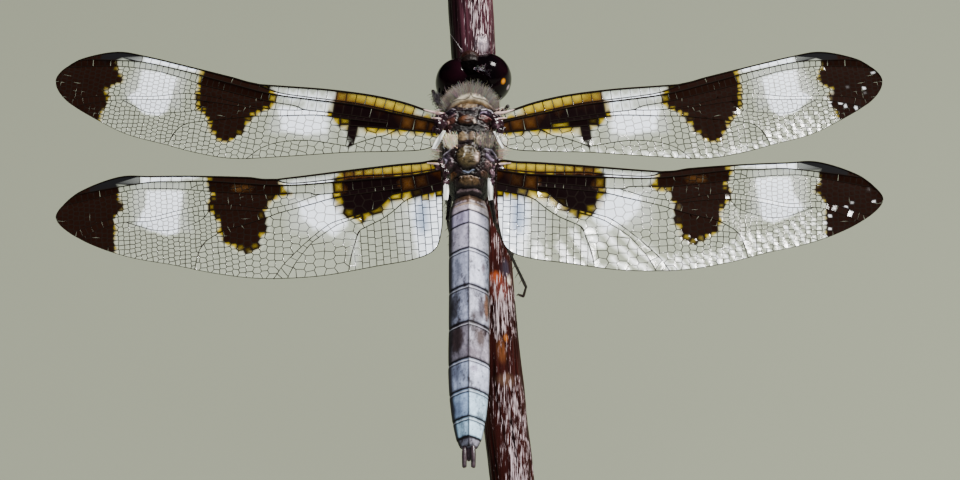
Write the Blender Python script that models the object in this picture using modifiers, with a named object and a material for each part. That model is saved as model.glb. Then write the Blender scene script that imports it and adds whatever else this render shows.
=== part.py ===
"""Twelve-spotted skimmer dragonfly, male, life size, clinging to a cut twig on a display stand.

Three frames carry the pieces. The insect frame has x to the insect's right, y towards its head
and z out of its back, with its origin in the middle of the thorax. The head frame is the same,
turned a little and placed in the head. The perch frame has z up along the twig and y away from
the insect, with its origin on the twig's axis behind the thorax. World +Z is up and the stand's
underside lies at Z = 0. Lengths are named in millimetres, and MM turns them into metres.
"""

import math

import bmesh
import bpy
from mathutils import Matrix, Vector

MM = 0.001
GAP = 0.2
RIGHT = 1
LEFT = -1
SIDE_NAMES = {LEFT: "left", RIGHT: "right"}

# Stance: the twig leans back, and the insect's back leans back further, away from the twig.
TWIG_LEAN = math.radians(20.0)
BODY_LEAN = math.radians(45.0)
TWIG_BEHIND_THORAX = 11.0
THORAX_HEIGHT = 56.0
THORAX_FROM_STAND_X = -4.0
THORAX_FROM_STAND_Y = 6.0

# Stand: a turned wooden disc and a turned brass pillar with a flange at each end.
BASE_RADIUS = 30.0
BASE_THICKNESS = 4.0
BASE_ROUNDING = 1.2
PILLAR_RADIUS = 1.3
PILLAR_FLANGE_RADIUS = 2.9
PILLAR_FLANGE_THICKNESS = 0.9
STAND_GAP = 0.3

# Twig: bowed to the insect's right on its way down, cut level below and square above.
TWIG_RADIUS = 2.6
TWIG_TOP = 20.0
TWIG_BOTTOM = -50.0
TWIG_BOW_LINEAR = 0.0544
TWIG_BOW_SQUARE = 0.00054
TWIG_CUT_ABOVE_BASE = 8.0
TWIG_STATIONS = 15

# Thorax: rings from the neck end to the waist, as (y, half width, top z, bottom z).
THORAX_RINGS = (
    (5.35, 1.5, 0.9, -3.1),
    (5.0, 2.4, 2.5, -4.3),
    (4.2, 3.1, 3.7, -5.0),
    (2.8, 3.5, 4.3, -5.4),
    (0.8, 3.7, 4.4, -5.5),
    (-1.4, 3.7, 4.3, -5.1),
    (-3.4, 3.5, 4.3, -4.3),
    (-5.0, 3.1, 3.9, -3.2),
    (-6.2, 2.5, 2.9, -2.1),
    (-6.7, 2.0, 2.1, -1.4),
)
THORAX_MIDDLE_Z = -0.4

# Wings: a plate on each outline, and a swelling where the hinge plates of the base lie.
WING_THICKNESS = 0.55
WING_ROOT_X = 3.4
WING_ROOT_Z = 3.9
WING_DROOP = math.radians(4.0)
WING_HINGE_RADII = (1.35, 1.7, 0.62)
FOREWING_ROOT_Y = 1.3
HINDWING_ROOT_Y = -4.7
FOREWING_SWEEP = {LEFT: math.radians(8.4), RIGHT: math.radians(8.4)}
HINDWING_SWEEP = {LEFT: math.radians(-4.6), RIGHT: math.radians(-1.6)}
OUTLINE_STEPS = 4

# Wing outlines as (along the span, forwards), from the root round by the tip.
FOREWING_KNOTS = (
    (-0.2, 0.9), (2.3, 1.75), (5.0, 2.38), (8.7, 2.82), (14.0, 2.95), (21.4, 2.78),
    (25.0, 3.32), (30.0, 4.1), (35.0, 4.82), (38.5, 5.0), (42.3, 3.68), (44.4, 1.89),
    (44.8, 0.1), (43.0, -1.95), (39.1, -3.96), (35.5, -5.4), (31.2, -6.2), (26.6, -7.0),
    (22.5, -7.15), (16.8, -6.14), (10.0, -4.77), (5.0, -4.04), (1.2, -3.29), (-0.1, -1.9),
)
HINDWING_KNOTS = (
    (-0.2, 0.9), (2.4, 1.36), (8.6, 1.36), (18.6, 1.18), (22.1, 1.77), (28.0, 2.6),
    (33.0, 3.14), (36.6, 3.46), (40.9, 2.25), (43.5, 0.4), (44.0, -1.4), (41.2, -4.1),
    (36.4, -6.7), (31.0, -8.5), (26.1, -10.25), (21.0, -11.5), (14.5, -11.95),
    (8.0, -11.4), (3.6, -10.96), (1.2, -9.9), (0.3, -7.4), (0.0, -4.5), (-0.9, -3.6), (-0.9, -1.5),
)

# Abdomen: where each segment begins and ends along y, and rings that give its swelling.
ABDOMEN_JOINTS = (-6.9, -7.9, -10.2, -13.3, -17.9, -22.5, -27.3, -31.2, -34.7, -37.3, -38.5)
ABDOMEN_RINGS = (
    (-6.9, 2.0, 2.0, -1.3),
    (-8.5, 2.3, 2.2, -1.6),
    (-12.0, 2.32, 2.2, -1.6),
    (-20.0, 2.3, 2.1, -1.4),
    (-28.0, 2.36, 2.0, -1.4),
    (-31.5, 2.22, 1.9, -1.35),
    (-35.0, 1.8, 1.55, -1.2),
    (-37.3, 1.3, 1.2, -1.0),
    (-38.5, 1.0, 0.95, -0.8),
)

# Head: placed off the body's middle line and turned towards the insect's left.
HEAD_PLACE = (0.5, 8.9, 0.0)
HEAD_TURN = math.radians(9.0)
HEAD_ROLL = math.radians(-3.0)
EYE_PLACE = (1.72, -0.15, 0.15)
EYE_RADII = (2.7, 2.8, 3.35)
SKULL_PLACE = (0.0, 0.1, -0.6)
SKULL_RADII = (3.2, 2.65, 3.1)
FRONS_PLACE = (0.0, 2.1, 0.8)
FRONS_RADII = (1.35, 1.35, 1.5)
MOUTH_PLACE = (0.0, 1.8, -2.15)
MOUTH_RADII = (2.0, 1.45, 1.55)
NECK_PLACE = (0.15, 6.4, -1.2)
NECK_RADII = (1.5, 0.85, 1.9)

# Legs: the fore pair is folded behind the eyes, the others clasp the twig. Places as (x, y, z) of
# the hip, knee and ankle; fore knees and ankles are in the insect frame, the others in the perch's.
FORE_HIP = (1.3, 4.5, -5.7)
MIDDLE_HIP = (1.6, 2.6, -6.0)
HIND_HIP = (1.8, 1.0, -6.0)
FORE_JOINTS = {
    RIGHT: ((4.0, 5.4, -0.6), (3.4, 6.3, -4.4)),
    LEFT: ((-3.75, 6.5, 0.9), (-3.1, 6.8, -4.1)),
}
MIDDLE_JOINTS = {
    RIGHT: ((4.3, -2.2, -3.2), (5.4, -0.9, -9.5)),
    LEFT: ((-3.4, -2.2, -3.2), (-1.6, -1.0, -9.3)),
}
HIND_JOINTS = {
    RIGHT: ((3.0, -5.8, -8.3), (6.6, -2.5, -15.8)),
    LEFT: ((-2.5, -5.5, -8.0), (-0.9, -2.2, -15.5)),
}
# Steps from a fore ankle to its folded foot, inwards; where the other feet hold the twig, as a
# height on it and an angle from its front in degrees.
FORE_FOOT_STEPS = ((0.7, 0.3, -0.5), (1.8, 0.3, -0.7))
MIDDLE_FOOT_HOLDS = ((-11.2, 95.0), (-12.5, 118.0))
HIND_FOOT_HOLDS = ((-16.6, 85.0), (-16.9, 115.0))
FEMUR_RADII = (0.36, 0.42, 0.4, 0.3)
TIBIA_RADII = (0.27, 0.29, 0.27, 0.26)
TARSUS_RADII = (0.25, 0.26, 0.25)
FOOT_CLEARANCE = 0.12
FOLDED = math.radians(45.0)

SKIN_BROWN = (0.11, 0.055, 0.03)
PRUINOSE_BLUE = (0.55, 0.56, 0.66)
EYE_BROWN = (0.035, 0.012, 0.012)
LEG_BLACK = (0.02, 0.015, 0.014)
WING_SMOKE = (0.2, 0.13, 0.08)
BARK_BROWN = (0.2, 0.075, 0.06)
WALNUT = (0.11, 0.055, 0.03)
BRASS = (0.8, 0.6, 0.3)


def clear_scene():
    """Remove every object of the scene this runs in."""
    for thing in list(bpy.data.objects):
        bpy.data.objects.remove(thing, do_unlink=True)


def new_collection(name):
    """Make a collection under the scene's own."""
    group = bpy.data.collections.new(name)
    bpy.context.scene.collection.children.link(group)
    return group


def give_material(thing, colour, roughness, metallic=0.0):
    """Give an object a Principled material of its own."""
    finish = bpy.data.materials.new(thing.name)
    finish.use_nodes = True
    shader = finish.node_tree.nodes["Principled BSDF"]
    shader.inputs["Base Color"].default_value = (*colour, 1.0)
    shader.inputs["Roughness"].default_value = roughness
    shader.inputs["Metallic"].default_value = metallic
    finish.diffuse_color = (*colour, 1.0)
    thing.data.materials.clear()
    thing.data.materials.append(finish)


def link(thing, parent, place=(0.0, 0.0, 0.0), turn=(0.0, 0.0, 0.0), group=None):
    """Put an object in a collection, under its parent, at a place in millimetres."""
    (group or DRAGONFLY).objects.link(thing)
    thing.parent = parent
    thing.location = Vector(place) * MM
    thing.rotation_euler = turn
    return thing


def new_frame(name, parent, place, turn):
    """An empty that carries pieces."""
    return link(bpy.data.objects.new(name, None), parent, place, turn)


def mesh_from(name, form):
    """Turn a bmesh built in millimetres into a mesh in metres."""
    bmesh.ops.scale(form, vec=(MM, MM, MM), verts=form.verts)
    bmesh.ops.recalc_face_normals(form, faces=form.faces)
    mesh = bpy.data.meshes.new(name)
    form.to_mesh(mesh)
    form.free()
    mesh.shade_smooth()
    return mesh


def ellipsoid(name, radii, parent, place, turn=(0.0, 0.0, 0.0), group=None, grow=0.0, facets=14):
    """A ball scaled to three radii, larger all round by grow."""
    form = bmesh.new()
    bmesh.ops.create_uvsphere(form, u_segments=facets, v_segments=facets * 2 // 3, radius=1.0)
    bmesh.ops.scale(form, vec=[radius + grow for radius in radii], verts=form.verts)
    thing = bpy.data.objects.new(name, mesh_from(name, form))
    return link(thing, parent, place, turn, group)


def loft(name, rings, parent):
    """A closed skin over rings of equally many points, with flat ends."""
    form = bmesh.new()
    loops = [[form.verts.new(point) for point in ring] for ring in rings]
    count = len(loops[0])
    for near, far in zip(loops, loops[1:]):
        for index in range(count):
            after = (index + 1) % count
            form.faces.new((near[index], near[after], far[after], far[index]))
    form.faces.new(loops[0])
    form.faces.new(loops[-1])
    thing = bpy.data.objects.new(name, mesh_from(name, form))
    thing.data.set_sharp_from_angle(angle=math.radians(40.0))
    return link(thing, parent)


def body_ring(y, half_width, top, bottom, middle, top_power, bottom_power, count=20):
    """A ring across the body: two half superellipses that meet at the height called middle."""
    ring = []
    for index in range(count):
        angle = 2.0 * math.pi * index / count
        upper = math.sin(angle) >= 0.0
        power = 2.0 / (top_power if upper else bottom_power)
        across = math.copysign(abs(math.cos(angle)) ** power, math.cos(angle)) * half_width
        reach = (top - middle) if upper else (middle - bottom)
        height = math.copysign(abs(math.sin(angle)) ** power, math.sin(angle)) * reach
        ring.append((across, y, middle + height))
    return ring


def tube(name, points, radii, parent, group=None):
    """A round bar through points in the parent's frame, with its own radius at each of them."""
    curve = bpy.data.curves.new(name, "CURVE")
    curve.dimensions = "3D"
    curve.bevel_depth = MM
    curve.bevel_resolution = 2
    curve.use_fill_caps = True
    spline = curve.splines.new("POLY")
    spline.points.add(len(points) - 1)
    start = Vector(points[0])
    for knot, point, radius in zip(spline.points, points, radii):
        knot.co = (*((Vector(point) - start) * MM), 1.0)
        knot.radius = radius
    thing = bpy.data.objects.new(name, curve)
    return link(thing, parent, start, group=group)


def as_mesh(curve_object, name):
    """Swap a curve object for a mesh object of the same shape and place."""
    bpy.context.view_layer.update()
    depsgraph = bpy.context.evaluated_depsgraph_get()
    mesh = bpy.data.meshes.new_from_object(curve_object.evaluated_get(depsgraph))
    form = bmesh.new()
    form.from_mesh(mesh)
    bmesh.ops.remove_doubles(form, verts=form.verts, dist=0.001 * MM)
    bmesh.ops.recalc_face_normals(form, faces=form.faces)
    form.to_mesh(mesh)
    form.free()
    thing = bpy.data.objects.new(name, mesh)
    link(thing, curve_object.parent)
    thing.matrix_local = curve_object.matrix_local
    bpy.data.objects.remove(curve_object, do_unlink=True)
    thing.name = name
    return thing


def join_or_cut(thing, tool, operation):
    """Join a tool to an object or cut it away with a Boolean modifier."""
    tool.hide_render = True
    tool.display_type = "WIRE"
    step = thing.modifiers.new(operation.lower(), "BOOLEAN")
    step.operation = operation
    step.solver = "EXACT"
    step.object = tool


def smooth_loop(knots, steps):
    """Points on a closed smooth curve that passes through every knot."""
    points = []
    count = len(knots)
    for index in range(count):
        before, start, end, after = [Vector(knots[(index + shift) % count]) for shift in (-1, 0, 1, 2)]
        leave = (end - before) * 0.5
        arrive = (after - start) * 0.5
        for step in range(steps):
            t = step / steps
            point = start * (2 * t ** 3 - 3 * t ** 2 + 1) + end * (3 * t ** 2 - 2 * t ** 3)
            point += leave * (t ** 3 - 2 * t ** 2 + t) + arrive * (t ** 3 - t ** 2)
            points.append(point)
    return points


def between(points, count):
    """Count points spread evenly along a straight run between two."""
    start, end = Vector(points[0]), Vector(points[1])
    return [start.lerp(end, index / (count - 1)) for index in range(count)]


def wing(name, knots, side, root_y, sweep):
    """One wing: a thin plate on its outline, with the hinge swelling joined to it."""
    curve = bpy.data.curves.new(name, "CURVE")
    curve.dimensions = "2D"
    curve.fill_mode = "BOTH"
    curve.extrude = 0.5 * WING_THICKNESS * MM
    outline = smooth_loop(knots, OUTLINE_STEPS)
    spline = curve.splines.new("POLY")
    spline.points.add(len(outline) - 1)
    for knot, point in zip(spline.points, outline):
        knot.co = (side * point.x * MM, point.y * MM, 0.0, 1.0)
    spline.use_cyclic_u = True
    place = (side * WING_ROOT_X, root_y, WING_ROOT_Z)
    turn = (0.0, side * WING_DROOP, side * sweep)
    flat = link(bpy.data.objects.new(name + "_outline", curve), INSECT, place, turn)
    plate = as_mesh(flat, name)
    hinge = ellipsoid(name + "_hinge", WING_HINGE_RADII, INSECT, place, turn, GUIDES)
    join_or_cut(plate, hinge, "UNION")
    give_material(plate, WING_SMOKE, 0.35)
    return ellipsoid(name + "_socket", WING_HINGE_RADII, INSECT, place, turn, GUIDES, GAP)


def make_wings():
    """The four wings; returns the hollows that the thorax needs for their hinges."""
    sockets = []
    for side, word in SIDE_NAMES.items():
        sweep = FOREWING_SWEEP[side]
        sockets.append(wing("wing_fore_" + word, FOREWING_KNOTS, side, FOREWING_ROOT_Y, sweep))
        sweep = HINDWING_SWEEP[side]
        sockets.append(wing("wing_hind_" + word, HINDWING_KNOTS, side, HINDWING_ROOT_Y, sweep))
    return sockets


def make_thorax(sockets):
    """The deep box of the thorax, hollowed a little where the wings hinge."""
    rings = [
        body_ring(y, half_width, top, bottom, THORAX_MIDDLE_Z, 2.7, 2.3, 24)
        for y, half_width, top, bottom in THORAX_RINGS
    ]
    thorax = loft("thorax", rings, INSECT)
    give_material(thorax, SKIN_BROWN, 0.6)
    for socket in sockets:
        join_or_cut(thorax, socket, "DIFFERENCE")


def abdomen_size(y):
    """Half width, top and bottom of the abdomen at a place along it."""
    for front, rear in zip(ABDOMEN_RINGS, ABDOMEN_RINGS[1:]):
        if y >= rear[0] - 1e-6:
            share = (front[0] - y) / (front[0] - rear[0])
            return [a + (b - a) * share for a, b in zip(front[1:], rear[1:])]
    return list(ABDOMEN_RINGS[-1][1:])


def make_abdomen():
    """Ten keeled segments, and the claspers at the end."""
    for number, (front, rear) in enumerate(zip(ABDOMEN_JOINTS, ABDOMEN_JOINTS[1:]), start=1):
        start = front - 0.5 * GAP
        end = rear + 0.5 * GAP
        rings = []
        for share, swell in ((0.0, 0.93), (0.12, 0.99), (0.5, 1.0), (0.9, 1.0), (1.0, 0.94)):
            y = start + (end - start) * share
            sizes = [size * swell for size in abdomen_size(y)]
            rings.append(body_ring(y, *sizes, 0.0, 1.7, 2.5))
        segment = loft("abdomen_%d" % number, rings, INSECT)
        give_material(segment, PRUINOSE_BLUE, 0.7)
    for side, word in SIDE_NAMES.items():
        points = [(side * 0.5, -38.65, 0.3), (side * 0.62, -39.7, 0.42), (side * 0.5, -40.9, 0.3)]
        clasper = tube("cercus_" + word, points, (0.28, 0.36, 0.25), INSECT)
        give_material(clasper, LEG_BLACK, 0.4)
    points = [(0.0, -38.65, -0.45), (0.0, -39.4, -0.42), (0.0, -40.1, -0.3)]
    plate = tube("epiproct", points, (0.36, 0.34, 0.25), INSECT)
    give_material(plate, LEG_BLACK, 0.4)


def half_space(side):
    """A box over all of the head on one side, half a gap off its middle plane."""
    half_width = 10.0
    form = bmesh.new()
    bmesh.ops.create_cube(form, size=2.0 * half_width)
    thing = bpy.data.objects.new("head_half_" + SIDE_NAMES[side], mesh_from("head_half", form))
    return link(thing, HEAD, (side * (half_width + 0.5 * GAP), 0.0, 0.0), group=GUIDES)


def make_head():
    """Skull with the bulging frons, two great eyes, mouthparts, neck shield and antennae."""
    skull = ellipsoid("head", SKULL_RADII, HEAD, SKULL_PLACE)
    give_material(skull, SKIN_BROWN, 0.45)
    frons = ellipsoid("frons_bulge", FRONS_RADII, HEAD, FRONS_PLACE, group=GUIDES)
    join_or_cut(skull, frons, "UNION")
    mouth = ellipsoid("mouthparts", MOUTH_RADII, HEAD, MOUTH_PLACE)
    give_material(mouth, SKIN_BROWN, 0.45)
    neck = ellipsoid("prothorax", NECK_RADII, INSECT, NECK_PLACE)
    give_material(neck, SKIN_BROWN, 0.6)
    skull_room = ellipsoid("skull_room", SKULL_RADII, HEAD, SKULL_PLACE, group=GUIDES, grow=GAP)
    join_or_cut(mouth, skull_room, "DIFFERENCE")
    join_or_cut(neck, skull_room, "DIFFERENCE")
    frons_room = ellipsoid("frons_room", FRONS_RADII, HEAD, FRONS_PLACE, group=GUIDES, grow=GAP)
    join_or_cut(mouth, frons_room, "DIFFERENCE")
    for side, word in SIDE_NAMES.items():
        place = (side * EYE_PLACE[0], EYE_PLACE[1], EYE_PLACE[2])
        eye = ellipsoid("eye_" + word, EYE_RADII, HEAD, place, facets=22)
        give_material(eye, EYE_BROWN, 0.12)
        join_or_cut(eye, half_space(side), "INTERSECT")
        room = ellipsoid("eye_room_" + word, EYE_RADII, HEAD, place, group=GUIDES, grow=GAP, facets=22)
        join_or_cut(skull, room, "DIFFERENCE")
        join_or_cut(mouth, room, "DIFFERENCE")
        join_or_cut(neck, room, "DIFFERENCE")
        points = [(side * 0.75, 3.45, 1.15), (side * 1.2, 4.5, 1.35), (side * 1.75, 5.7, 1.3)]
        feeler = tube("antenna_" + word, points, (0.27, 0.26, 0.25), HEAD)
        give_material(feeler, LEG_BLACK, 0.4)


def twig_axis(z):
    """The middle of the twig at a height in the perch frame."""
    drop = TWIG_TOP - z
    return Vector((TWIG_BOW_LINEAR * drop + TWIG_BOW_SQUARE * drop * drop, 0.0, z))


def grip(z, angle_from_front):
    """A point on the bark for a foot's middle line; the angle turns towards +x."""
    reach = TWIG_RADIUS + TARSUS_RADII[1] + FOOT_CLEARANCE
    angle = math.radians(angle_from_front)
    return twig_axis(z) + Vector((math.sin(angle), -math.cos(angle), 0.0)) * reach


def leg(name, hip, knee, ankle, foot):
    """Femur, tibia and tarsus between joints in the insect frame, a gap apart.

    The tibia of a tightly folded leg lies beside the femur.
    """
    hip, knee, ankle = Vector(hip), Vector(knee), Vector(ankle)
    thigh_end = knee - (knee - hip).normalized() * GAP
    femur = tube(name + "_femur", between((hip, thigh_end), 4), FEMUR_RADII, INSECT)
    shin = (ankle - knee).normalized()
    thigh = (hip - knee).normalized()
    if shin.angle(thigh) < FOLDED:
        beside = (shin - thigh * shin.dot(thigh)).normalized()
        tibia_start = knee + beside * (FEMUR_RADII[1] + TIBIA_RADII[1] + GAP)
    else:
        tibia_start = knee + shin * (FEMUR_RADII[-1] + GAP)
    tibia_run = (tibia_start, ankle - shin * GAP)
    tibia = tube(name + "_tibia", between(tibia_run, 4), TIBIA_RADII, INSECT)
    foot_start = ankle + (Vector(foot[0]) - ankle).normalized() * (TIBIA_RADII[-1] + GAP)
    tarsus = tube(name + "_tarsus", [foot_start, *foot], TARSUS_RADII, INSECT)
    for piece in (femur, tibia, tarsus):
        give_material(piece, LEG_BLACK, 0.35)


def make_legs():
    """Fore legs folded behind the eyes; middle and hind legs clasping the twig."""
    to_insect = INSECT_MATRIX.inverted() @ PERCH_MATRIX

    def from_perch(point):
        return (to_insect @ (Vector(point) * MM)) / MM

    for side, word in SIDE_NAMES.items():
        knee, ankle = FORE_JOINTS[side]
        foot = [Vector(ankle) + Vector((-side * inwards, y, z)) for inwards, y, z in FORE_FOOT_STEPS]
        hip_x, hip_y, hip_z = FORE_HIP
        leg("leg_fore_" + word, (side * hip_x, hip_y, hip_z), knee, ankle, foot)
    clasping = (("leg_middle_", MIDDLE_HIP, MIDDLE_JOINTS, MIDDLE_FOOT_HOLDS),
                ("leg_hind_", HIND_HIP, HIND_JOINTS, HIND_FOOT_HOLDS))
    for side, word in SIDE_NAMES.items():
        for name, (hip_x, hip_y, hip_z), joints, holds in clasping:
            knee, ankle = (from_perch(point) for point in joints[side])
            foot = [from_perch(grip(height, side * angle)) for height, angle in holds]
            leg(name + word, (side * hip_x, hip_y, hip_z), knee, ankle, foot)


def make_perch():
    """The cut twig, level at its lower end, and the stand that holds it."""
    drop = (TWIG_BOTTOM - TWIG_TOP) / (TWIG_STATIONS - 1)
    heights = [TWIG_TOP + drop * step for step in range(TWIG_STATIONS)]
    points = [twig_axis(height) for height in heights]
    radii = [TWIG_RADIUS * (1.0 + 0.012 * math.sin(1.3 * step)) for step in range(TWIG_STATIONS)]
    bar = tube("perch_bar", points, radii, PERCH)
    bar.data.bevel_resolution = 5
    perch = as_mesh(bar, "perch_stem")
    cut_height = (BASE_THICKNESS + TWIG_CUT_ABOVE_BASE) * MM
    bpy.context.view_layer.update()
    into_world = perch.matrix_world
    form = bmesh.new()
    form.from_mesh(perch.data)
    plane_point = into_world.inverted() @ Vector((0.0, 0.0, cut_height))
    plane_normal = into_world.inverted().to_3x3() @ Vector((0.0, 0.0, -1.0))
    everything = form.verts[:] + form.edges[:] + form.faces[:]
    cut = bmesh.ops.bisect_plane(form, geom=everything, plane_co=plane_point,
                                 plane_no=plane_normal, clear_outer=True)
    rim = [piece for piece in cut["geom_cut"] if isinstance(piece, bmesh.types.BMEdge)]
    bmesh.ops.edgeloop_fill(form, edges=rim)
    bmesh.ops.recalc_face_normals(form, faces=form.faces)
    middle = sum((into_world @ edge.verts[0].co for edge in rim), Vector()) / len(rim)
    form.to_mesh(perch.data)
    form.free()
    perch.data.shade_smooth()
    perch.data.set_sharp_from_angle(angle=math.radians(40.0))
    give_material(perch, BARK_BROWN, 0.5)
    return middle / MM


def turned(name, profile, place, steps, colour, roughness, metallic):
    """A turned piece from a profile of (radius, height), run from the top middle outwards and down."""
    mesh = bpy.data.meshes.new(name)
    points = [(radius * MM, 0.0, height * MM) for radius, height in profile]
    edges = [(index, index + 1) for index in range(len(points) - 1)]
    mesh.from_pydata(points, edges, [])
    thing = link(bpy.data.objects.new(name, mesh), None, place)
    lathe = thing.modifiers.new("lathe", "SCREW")
    lathe.steps = steps
    lathe.render_steps = steps
    lathe.use_merge_vertices = True
    lathe.merge_threshold = 0.00001
    lathe.use_smooth_shade = True
    give_material(thing, colour, roughness, metallic)
    return thing


def make_stand(twig_foot):
    """The wooden disc on the ground and the brass pillar under the twig's cut."""
    radius, thickness, rounding = BASE_RADIUS, BASE_THICKNESS, BASE_ROUNDING
    profile = [(0.0, thickness), (radius - rounding, thickness)]
    for step in range(1, 5):
        angle = math.radians(90.0 - 22.5 * step)
        profile.append((radius - rounding + rounding * math.cos(angle),
                        thickness - rounding + rounding * math.sin(angle)))
    profile += [(radius, 0.4), (radius - 0.4, 0.0), (0.0, 0.0)]
    turned("stand_base", profile, (0.0, 0.0, 0.0), 48, WALNUT, 0.45, 0.0)
    low = BASE_THICKNESS + STAND_GAP
    high = BASE_THICKNESS + TWIG_CUT_ABOVE_BASE - STAND_GAP
    rod, rim, edge = PILLAR_RADIUS, PILLAR_FLANGE_RADIUS, PILLAR_FLANGE_THICKNESS
    profile = [
        (0.0, high), (rim - 0.25, high), (rim, high - 0.25), (rim, high - edge),
        (rod + 0.5, high - edge - 0.25), (rod, high - edge - 0.8),
        (rod, low + edge + 1.0), (rod + 0.6, low + edge + 0.3),
        (rim + 0.6, low + edge), (rim + 0.6, low), (0.0, low),
    ]
    turned("stand_pillar", profile, (twig_foot.x, twig_foot.y, 0.0), 24, BRASS, 0.25, 1.0)


clear_scene()
DRAGONFLY = new_collection("dragonfly")
GUIDES = new_collection("guides")
thorax_place = Vector((THORAX_FROM_STAND_X, THORAX_FROM_STAND_Y, THORAX_HEIGHT))
towards_twig = Vector((0.0, math.cos(TWIG_LEAN), -math.sin(TWIG_LEAN)))
perch_place = thorax_place + towards_twig * TWIG_BEHIND_THORAX
INSECT = new_frame("insect_frame", None, thorax_place, (BODY_LEAN, 0.0, 0.0))
HEAD = new_frame("head_frame", INSECT, HEAD_PLACE, (0.0, HEAD_ROLL, HEAD_TURN))
PERCH = new_frame("perch_frame", None, perch_place, (-TWIG_LEAN, 0.0, 0.0))
INSECT_MATRIX = Matrix.Translation(thorax_place * MM) @ Matrix.Rotation(BODY_LEAN, 4, "X")
PERCH_MATRIX = Matrix.Translation(perch_place * MM) @ Matrix.Rotation(-TWIG_LEAN, 4, "X")

make_thorax(make_wings())
make_abdomen()
make_head()
make_legs()
make_stand(make_perch())
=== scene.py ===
import math
import random

import bmesh
import bpy
import numpy as np
from mathutils import Matrix, Vector, noise


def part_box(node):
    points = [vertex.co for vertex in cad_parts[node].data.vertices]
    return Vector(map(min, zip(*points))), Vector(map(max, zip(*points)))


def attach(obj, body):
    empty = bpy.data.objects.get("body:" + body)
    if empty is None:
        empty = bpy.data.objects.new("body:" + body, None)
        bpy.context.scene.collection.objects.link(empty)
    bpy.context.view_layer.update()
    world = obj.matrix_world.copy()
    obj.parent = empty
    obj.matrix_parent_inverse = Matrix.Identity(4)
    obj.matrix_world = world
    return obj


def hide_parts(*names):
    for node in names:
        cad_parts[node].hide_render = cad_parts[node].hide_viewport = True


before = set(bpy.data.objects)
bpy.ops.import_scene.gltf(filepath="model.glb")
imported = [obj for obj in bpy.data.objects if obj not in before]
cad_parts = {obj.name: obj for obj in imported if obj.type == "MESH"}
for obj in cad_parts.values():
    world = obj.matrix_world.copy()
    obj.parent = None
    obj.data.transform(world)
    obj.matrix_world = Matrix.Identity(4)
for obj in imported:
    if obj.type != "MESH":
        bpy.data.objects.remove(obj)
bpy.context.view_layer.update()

# ---------------------------------------------------------------------------------------------
# Stance. The model stands on a round base at the world's origin. The twig leans back, and the
# insect leans back further. Every piece is shaped in millimetres in the insect's frame or the
# twig's and is then set in the world, in metres.
# ---------------------------------------------------------------------------------------------
MM = 0.001
SCENE = bpy.context.scene
TWIG_LEAN = math.radians(20.0)
BODY_LEAN = math.radians(45.0)
THORAX_MIDDLE = Vector((-4.0, 6.0, 56.0))
TWIG_BEHIND_THORAX = 11.0
VIEW_UP = Vector((0.0, math.sin(TWIG_LEAN), math.cos(TWIG_LEAN)))
VIEW_BACK = Vector((0.0, -math.cos(TWIG_LEAN), math.sin(TWIG_LEAN)))
INSECT = Matrix.Translation(THORAX_MIDDLE) @ Matrix.Rotation(BODY_LEAN, 4, "X")
TWIG_MIDDLE = THORAX_MIDDLE - VIEW_BACK * TWIG_BEHIND_THORAX
TWIG = Matrix.Translation(TWIG_MIDDLE) @ Matrix.Rotation(-TWIG_LEAN, 4, "X")
SIDES = {"left": -1, "right": 1}

# Camera, lights and floor. A long lens looks along the back from a metre away, level with the
# twig's lean; soft lights stand round it and the floor runs past every view.
FRAME_WIDTH = 110.4
FRAME_CENTRE_ACROSS = 1.26
FRAME_CENTRE_UP = -10.35
CAMERA_DISTANCE = 1000.0
SENSOR_WIDTH = 36.0
target = THORAX_MIDDLE + Vector((FRAME_CENTRE_ACROSS, 0.0, 0.0)) + VIEW_UP * FRAME_CENTRE_UP
camera_data = bpy.data.cameras.new("camera")
camera_data.sensor_width = SENSOR_WIDTH
camera_data.lens = SENSOR_WIDTH * CAMERA_DISTANCE / FRAME_WIDTH
camera_data.clip_start = 0.05
camera_data.clip_end = 20.0
camera = bpy.data.objects.new("camera", camera_data)
camera.location = (target + VIEW_BACK * CAMERA_DISTANCE) * MM
camera.rotation_mode = "QUATERNION"
camera.rotation_quaternion = VIEW_BACK.to_track_quat("Z", "Y")
SCENE.collection.objects.link(camera)
SCENE.camera = camera


def add_light(name, place, size, energy, colour, mirrored):
    """A square soft light at a place in metres, turned to the insect; glossy skins may not show it."""
    lamp = bpy.data.lights.new(name, "AREA")
    lamp.size = size
    lamp.energy = energy
    lamp.color = colour
    holder = bpy.data.objects.new(name, lamp)
    holder.location = place
    holder.rotation_mode = "QUATERNION"
    holder.rotation_quaternion = (Vector(place) - THORAX_MIDDLE * MM).to_track_quat("Z", "Y")
    holder.visible_glossy = mirrored
    SCENE.collection.objects.link(holder)


add_light("key_light", (0.42, 0.04, 0.93), 0.32, 32.0, (1.0, 0.97, 0.93), True)
add_light("fill_light", (0.12, -1.05, 0.5), 1.1, 20.0, (0.92, 0.96, 1.0), False)
world = bpy.data.worlds.new("studio")
SCENE.world = world
world.use_nodes = True
sky = world.node_tree.nodes["Background"]
sky.inputs["Color"].default_value = (0.86, 0.9, 1.0, 1.0)
sky.inputs["Strength"].default_value = 0.3
world.cycles_visibility.glossy = False


def new_material(name, **finish):
    """A material with plain values set on its shader; returns it with its node tree and shader."""
    material = bpy.data.materials.new(name)
    material.use_nodes = True
    shader = material.node_tree.nodes["Principled BSDF"]
    for socket, value in finish.items():
        shader.inputs[socket.replace("_", " ")].default_value = value
    return material, material.node_tree, shader


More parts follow.
